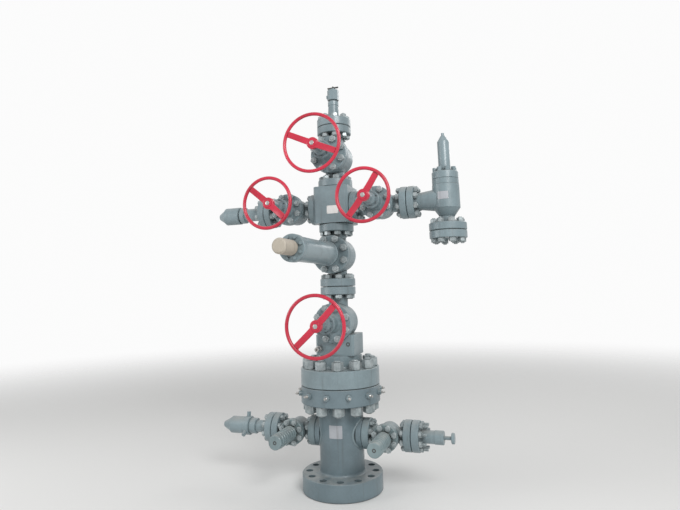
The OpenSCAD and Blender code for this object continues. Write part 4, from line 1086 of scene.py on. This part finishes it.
@dataclass
class LockDownScrews:
    """The ring of screws in the rim of the tubing head's upper flange."""

    count: int = 12
    drop: float = 0.052
    flange: float = 0.584
    pocket: float = 0.008
    gland: float = 0.040
    gland_length: float = 0.020
    pin: float = 0.019
    pin_length: float = 0.030
    square: float = 0.0125
    square_share: float = 0.38
    collar_share: float = 0.4
    hexagon_share: float = 0.86
    pitch: float = 0.0028

    def build(self) -> None:
        """Builds every gland, its hexagon and its screw with a square end."""
        glands = Surfaces("lock_down_screw_glands")
        screws = Surfaces("lock_down_screws_in_glands")
        height = Span.of("tubing_head_spool").high.z - self.drop
        collar = self.pocket + self.collar_share * self.gland_length
        top = self.pocket + self.gland_length
        radius, out = self.gland / 2, self.pin_length
        tip = self.square_share * out
        seat = turned([(0.0, 0.0), (radius, 0.0), (radius, collar - EDGE),
                       (radius - EDGE, collar), (0.0, collar)], 32)
        hexagon = nut(self.gland * self.hexagon_share, top - collar, self.pin / 2 * NUT_BORE)
        screw = thread(self.pin / 2, 0.7 * out, self.pitch)
        square = prism(box_section(self.square, self.square, 0.0015), [
            (1.0, 0.0), (1.0, 0.34 * out), (0.86, tip), (0.0, tip)])
        for turn in angles(self.count):
            base = radial(turn, self.flange / 2 - self.pocket, height)
            glands.add(seat, base)
            glands.add(hexagon, moved_on(base, collar), True)
            screws.add(screw, moved_on(base, top - EDGE))
            screws.add(square, moved_on(base, top - 2 * EDGE + out - tip))
        glands.build(Finish.GREY, TREE, "grey_paint", ("lock_down_screws",))
        screws.build(Finish.STEEL, TREE, "plated_steel")


@dataclass
class BarePlate:
    """A blank plate with rounded corners and small round-headed drive screws.

    `base` places its middle, with local Z out of the face and Y up, and `bend` is the radius
    of a round face.
    """

    name: str
    width: float
    height: float
    base: np.ndarray
    bend: float | None = None
    worn: bool = False
    thick: float = 0.0012
    corner: float = 0.004
    screw: float = 0.0028
    inset: float = 2.2

    def build(self) -> None:
        """Builds the plate and its screws on their face."""
        outline = resampled(box_section(self.width, self.height, self.corner, 5), 96)
        slab = prism(outline, [*((scale, -EDGE) for scale in (0.0, 0.5, 1.0)),
                               (1.0, self.thick - 0.0004),
                               *((scale, self.thick) for scale in (0.99, 0.75, 0.5, 0.25, 0))])
        plate = Surfaces(self.name)
        plate.add(self._formed(slab), self.base)
        dome = turned([(self.screw * share, self.thick + rise) for share, rise in (
            (1.0, -0.0006), (1.0, 0.0003), (0.75, 0.0011), (0.35, 0.0015), (0.0, 0.0016))], 20)
        heads = Surfaces(self.name + "_screws")
        inset = self.inset * self.screw
        for across in (-1, 1):
            for up in (-1, 1):
                corner = (across * (self.width / 2 - inset), up * (self.height / 2 - inset), 0.0)
                heads.add(self._formed(dome + corner), self.base)
        plate.build(Finish.WORN_PLATE if self.worn else Finish.PLATE, TREE, "cover_white")
        heads.build(Finish.STEEL, TREE, "bare_steel")

    def _formed(self, grid: np.ndarray) -> np.ndarray:
        """Bends a grid to the face that the plate lies on."""
        return grid if self.bend is None else bent(grid, self.bend)


@dataclass
class Plates:
    """The three blank plates that the front of the stack carries."""

    cross_place: tuple[float, float] = (0.020, 0.100)
    head_turn: float = math.radians(-86.5)
    head_height: float = 0.4255
    head_radius: float = 0.162
    choke_turn: float = math.radians(-97)
    choke_rise: float = 0.019
    choke_radius: float = 0.098

    def build(self) -> None:
        """Fixes a plate on the cross, one on the tubing head and one on the choke."""
        cross = Span.of("cross_block").low
        flat = placed((self.cross_place[0], cross.y, cross.z + self.cross_place[1]), Axis.FRONT)
        BarePlate("cross_plate", 0.092, 0.062, flat).build()
        head = radial(self.head_turn, self.head_radius, self.head_height)
        BarePlate("tubing_head_plate", 0.098, 0.089, head, self.head_radius, True).build()
        height = Span.of("left_wing_end_plug").middle.z + self.choke_rise
        choke = radial(self.choke_turn, self.choke_radius, height,
                       Span.of("choke_outlet_flange").middle.x)
        BarePlate("choke_plate", 0.080, 0.056, choke, self.choke_radius, True).build()


@dataclass
class Fittings:
    """Small plugs and grease nipples on the bodies and the bearing housings."""

    port: float = 0.015
    port_place: tuple[float, float] = (0.106, 0.083)
    side_plug: float = 0.013
    vent_place: tuple[float, float] = (-0.112, 0.050)
    vent_nut: tuple[float, float, float] = (0.040, 0.034, 0.010)
    vent_cap: Profile = ((0.018, 0.032), (0.018, 0.070), (0.016, 0.073), (0.008, 0.073),
                         (0.007, 0.060), (0.0, 0.060))
    noses: tuple[tuple[str, float], ...] = (("lower_master", 0.037), ("swab", 0.037),
                                            ("left_wing", 0.031), ("right_wing", 0.031))
    nose_reach: float = 0.052
    nipple: Profile = ((0.007, -0.004), (0.007, 0.006), (0.0042, 0.007), (0.0036, 0.011),
                       (0.0046, 0.013), (0.0042, 0.016), (0.0018, 0.018), (0.0, 0.018))

    def build(self) -> None:
        """Builds the socket plugs, the vent and the grease nipples."""
        dark = Surfaces("socket_plugs")
        dark.add(self._socket_plug(self.port), self._on_block(*self.port_place), True)
        for valve in Valves.SIDE.value:
            end = placed(Span.of(valve + "_bonnet").front, Axis.FRONT)
            dark.add(self._socket_plug(self.side_plug), end, True)
        dark.build(Finish.DARK, TREE, "dark_steel")
        bright = Surfaces("grease_nipples")
        vent = self._on_block(*self.vent_place)
        bright.add(nut(*self.vent_nut), vent, True)
        bright.add(turned(self.vent_cap, 32), vent)
        for valve, radius in self.noses:
            x, y, z = Span.of(valve + "_bonnet").front
            top = placed((x, y + self.nose_reach, z + radius), Axis.UP)
            bright.add(turned(self.nipple, 20), top)
        bright.build(Finish.STEEL, TREE, "bare_steel")

    @staticmethod
    def _on_block(x: float, rise: float) -> np.ndarray:
        """Gives a matrix on the front of the lower master valve's block, above its foot."""
        front, foot = Span.of("lower_master_bonnet").high.y, Span.of("lower_master_body").low.z
        return placed((x, front, foot + rise), Axis.FRONT)

    @staticmethod
    def _socket_plug(radius: float) -> np.ndarray:
        """Turns a flush plug whose middle sinks in to a socket."""
        return turned([(0.0, -0.008), (radius, -0.008), (radius, 0.0008),
                       (radius - EDGE, 0.0016), (0.55 * radius, 0.0016),
                       (0.5 * radius, -0.006), (0.0, -0.006)], 32)


@dataclass
class NeedleHandle:
    """The T-bar of the needle valve, with round ends and a round hub."""

    bar: float = 0.092
    radius: float = 0.0065
    end: float = 0.004
    rise: float = 0.010
    stem: float = 0.014

    def build(self) -> None:
        """Builds the handle over its node of the frame."""
        span = Span.of("needle_handle")
        surfaces = Surfaces("needle_tee_handle")
        r, tall = self.stem / 2, span.high.z - span.low.z
        surfaces.add(turned([(0.0, 0.0), (r, 0.0), (r, tall - EDGE), (r - EDGE, tall),
                             (0.0, tall)], 32), placed((0.0, 0.0, span.low.z), Axis.UP))
        half, r = self.bar / 2, self.radius
        rod = turned(eased([(0.0, -half), (r, -half), (r, half), (0.0, half)], self.end), 24)
        height = Span.of("needle_valve").high.z + self.rise
        surfaces.add(rod, placed((0.0, 0.0, height), Axis.RIGHT))
        surfaces.build(Finish.DARK, "needle_handle", "dark_steel", ("needle_handle",))


@dataclass
class Studio:
    """The pale floor, the soft lamps and the camera."""

    camera_place: tuple[float, float, float] = (1.318, -3.7586, 1.4217)
    camera_ahead: tuple[float, float, float] = (-0.3200, 0.9357, 0.1483)
    camera_roll: float = math.radians(1.55)
    lens: float = 27.2
    shift: float = -0.062
    floor_half: float = 14.0
    floor_fade: tuple[float, float] = (3.0, 11.2)
    world_light: float = 0.50
    world_seen: float = 0.97
    mirrored: float = 0.55
    lamps_aim: tuple[float, float, float] = (0.0, 0.0, 1.5)

    def build(self) -> None:
        """Sets up the stage."""
        self._camera()
        self._world()
        self._floor()
        for name, place, size, power in (("key_lamp", (3.6, -4.4, 4.6), 2.6, 240.0),
                                         ("fill_lamp", (-4.6, -2.6, 2.6), 3.0, 80.0),
                                         ("back_lamp", (1.8, 4.2, 4.4), 2.4, 40.0)):
            lamp = bpy.data.lights.new(name, "AREA")
            lamp.shape, lamp.size, lamp.energy = "SQUARE", size, power
            turn = (Vector(self.lamps_aim) - Vector(place)).to_track_quat("-Z", "Y")
            self._stand(lamp, place, turn.to_matrix())
        bpy.context.scene.view_settings.view_transform = "Standard"

    @staticmethod
    def _stand(data: bpy.types.ID, place: Place, turn: Matrix) -> bpy.types.Object:
        """Puts a lamp or a camera in the scene.

        Args:
            data: The lamp or camera.
            place: Where it stands.
            turn: Its turn, a 3 by 3 matrix.

        Returns:
            The new object.
        """
        made = bpy.data.objects.new(data.name, data)
        bpy.context.scene.collection.objects.link(made)
        made.matrix_world = Matrix.Translation(place) @ turn.to_4x4()
        return made

    def _camera(self) -> None:
        """Stands the camera at the photograph's viewing angle."""
        data = bpy.data.cameras.new("photo_camera")
        data.lens, data.shift_y = self.lens, self.shift
        ahead = Vector(self.camera_ahead).normalized()
        level = ahead.cross(Vector((0, 0, 1))).normalized()
        up = level.cross(ahead)
        right = level * math.cos(self.camera_roll) - up * math.sin(self.camera_roll)
        turn = Matrix((right, right.cross(ahead), -ahead)).transposed()
        bpy.context.scene.camera = self._stand(data, self.camera_place, turn)

    def _world(self) -> None:
        """Lights the scene evenly and shows white to the camera, duller in reflections."""
        world = bpy.data.worlds.new("studio_world")
        bpy.context.scene.world = world
        world.use_nodes = True
        sheet = Sheet(world.node_tree)
        path = sheet.node("LightPath").outputs
        seen = sheet.math("ADD", path["Is Camera Ray"], path["Is Transmission Ray"])
        mirrored = sheet.math("MULTIPLY", path["Is Glossy Ray"], self.mirrored)
        seen = sheet.math("ADD", seen, mirrored, clamp=True)
        strength = sheet.node("MapRange", {0: seen, 3: self.world_light, 4: self.world_seen})
        sheet.fill(sheet.tree.nodes["Background"],
                   {"Strength": strength.outputs[0], "Color": (1.0, 1.0, 1.0, 1.0)})

    def _floor(self) -> None:
        """Lays a pale floor that fades out towards the horizon."""
        mesh = bpy.data.meshes.new("studio_floor")
        half = self.floor_half
        mesh.from_pydata([(-half, -half, 0), (half, -half, 0), (half, half, 0),
                          (-half, half, 0)], [], [(0, 1, 2, 3)])
        floor = bpy.data.objects.new("studio_floor", mesh)
        bpy.context.scene.collection.objects.link(floor)
        sheet = MaterialSheet("pale_floor")
        far = sheet.node("VectorMath", {0: sheet.place}, operation="LENGTH").outputs["Value"]
        fade = sheet.math("SUBTRACT", 1.0, sheet.ramp(far, *self.floor_fade))
        mesh.materials.append(sheet.shaded({"Base Color": (0.80, 0.80, 0.79, 1.0), "Alpha": fade,
                                            "Roughness": 0.85, "Specular IOR Level": 0.1}))


def dress_frame(frame: dict) -> None:
    """Gives every solid of the frame its finish.

    Args:
        frame: What the frame's loader returned.
    """
    by_slot = {"grey_paint": Finish.GREY, "handwheel_red": Finish.RED,
               "bare_steel": Finish.STEEL, "plated_steel": Finish.PLATED,
               "cover_white": Finish.COVER, "dark_steel": Finish.DARK}
    slots = {part["node"]: part["material_slot"] for part in frame["record"]["subparts"]}
    for name, node in frame["nodes"].items():
        finish = by_slot[slots[name]]
        if name == "tubing_head_spool":
            finish = Finish.HEAD
        elif name.endswith("side_valve_bonnet"):
            finish = Finish.RIBBED
        elif finish is Finish.GREY and name.endswith(("body", "bonnet")):
            finish = Finish.FORGED
        node.data.materials.clear()
        node.data.materials.append(finish.material)


def main() -> None:
    """Builds the whole scene in order."""
    logging.basicConfig(level=logging.INFO, format="%(name)s %(message)s")
    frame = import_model()
    Studio().build()
    Effects().build()
    for finish in Finish:
        finish.value.build()
    dress_frame(frame)
    for part in (Bolting(), Castings(), LockDownScrews(), Plates(), Fittings(),
                 Handwheel("lower_master", 0.440, 44.0), Handwheel("swab", 0.440, 156.0),
                 Handwheel("left_wing", 0.391, 139.0), Handwheel("right_wing", 0.391, 54.0),
                 NeedleHandle()):
        part.build()


if __name__ == "__main__":
    main()
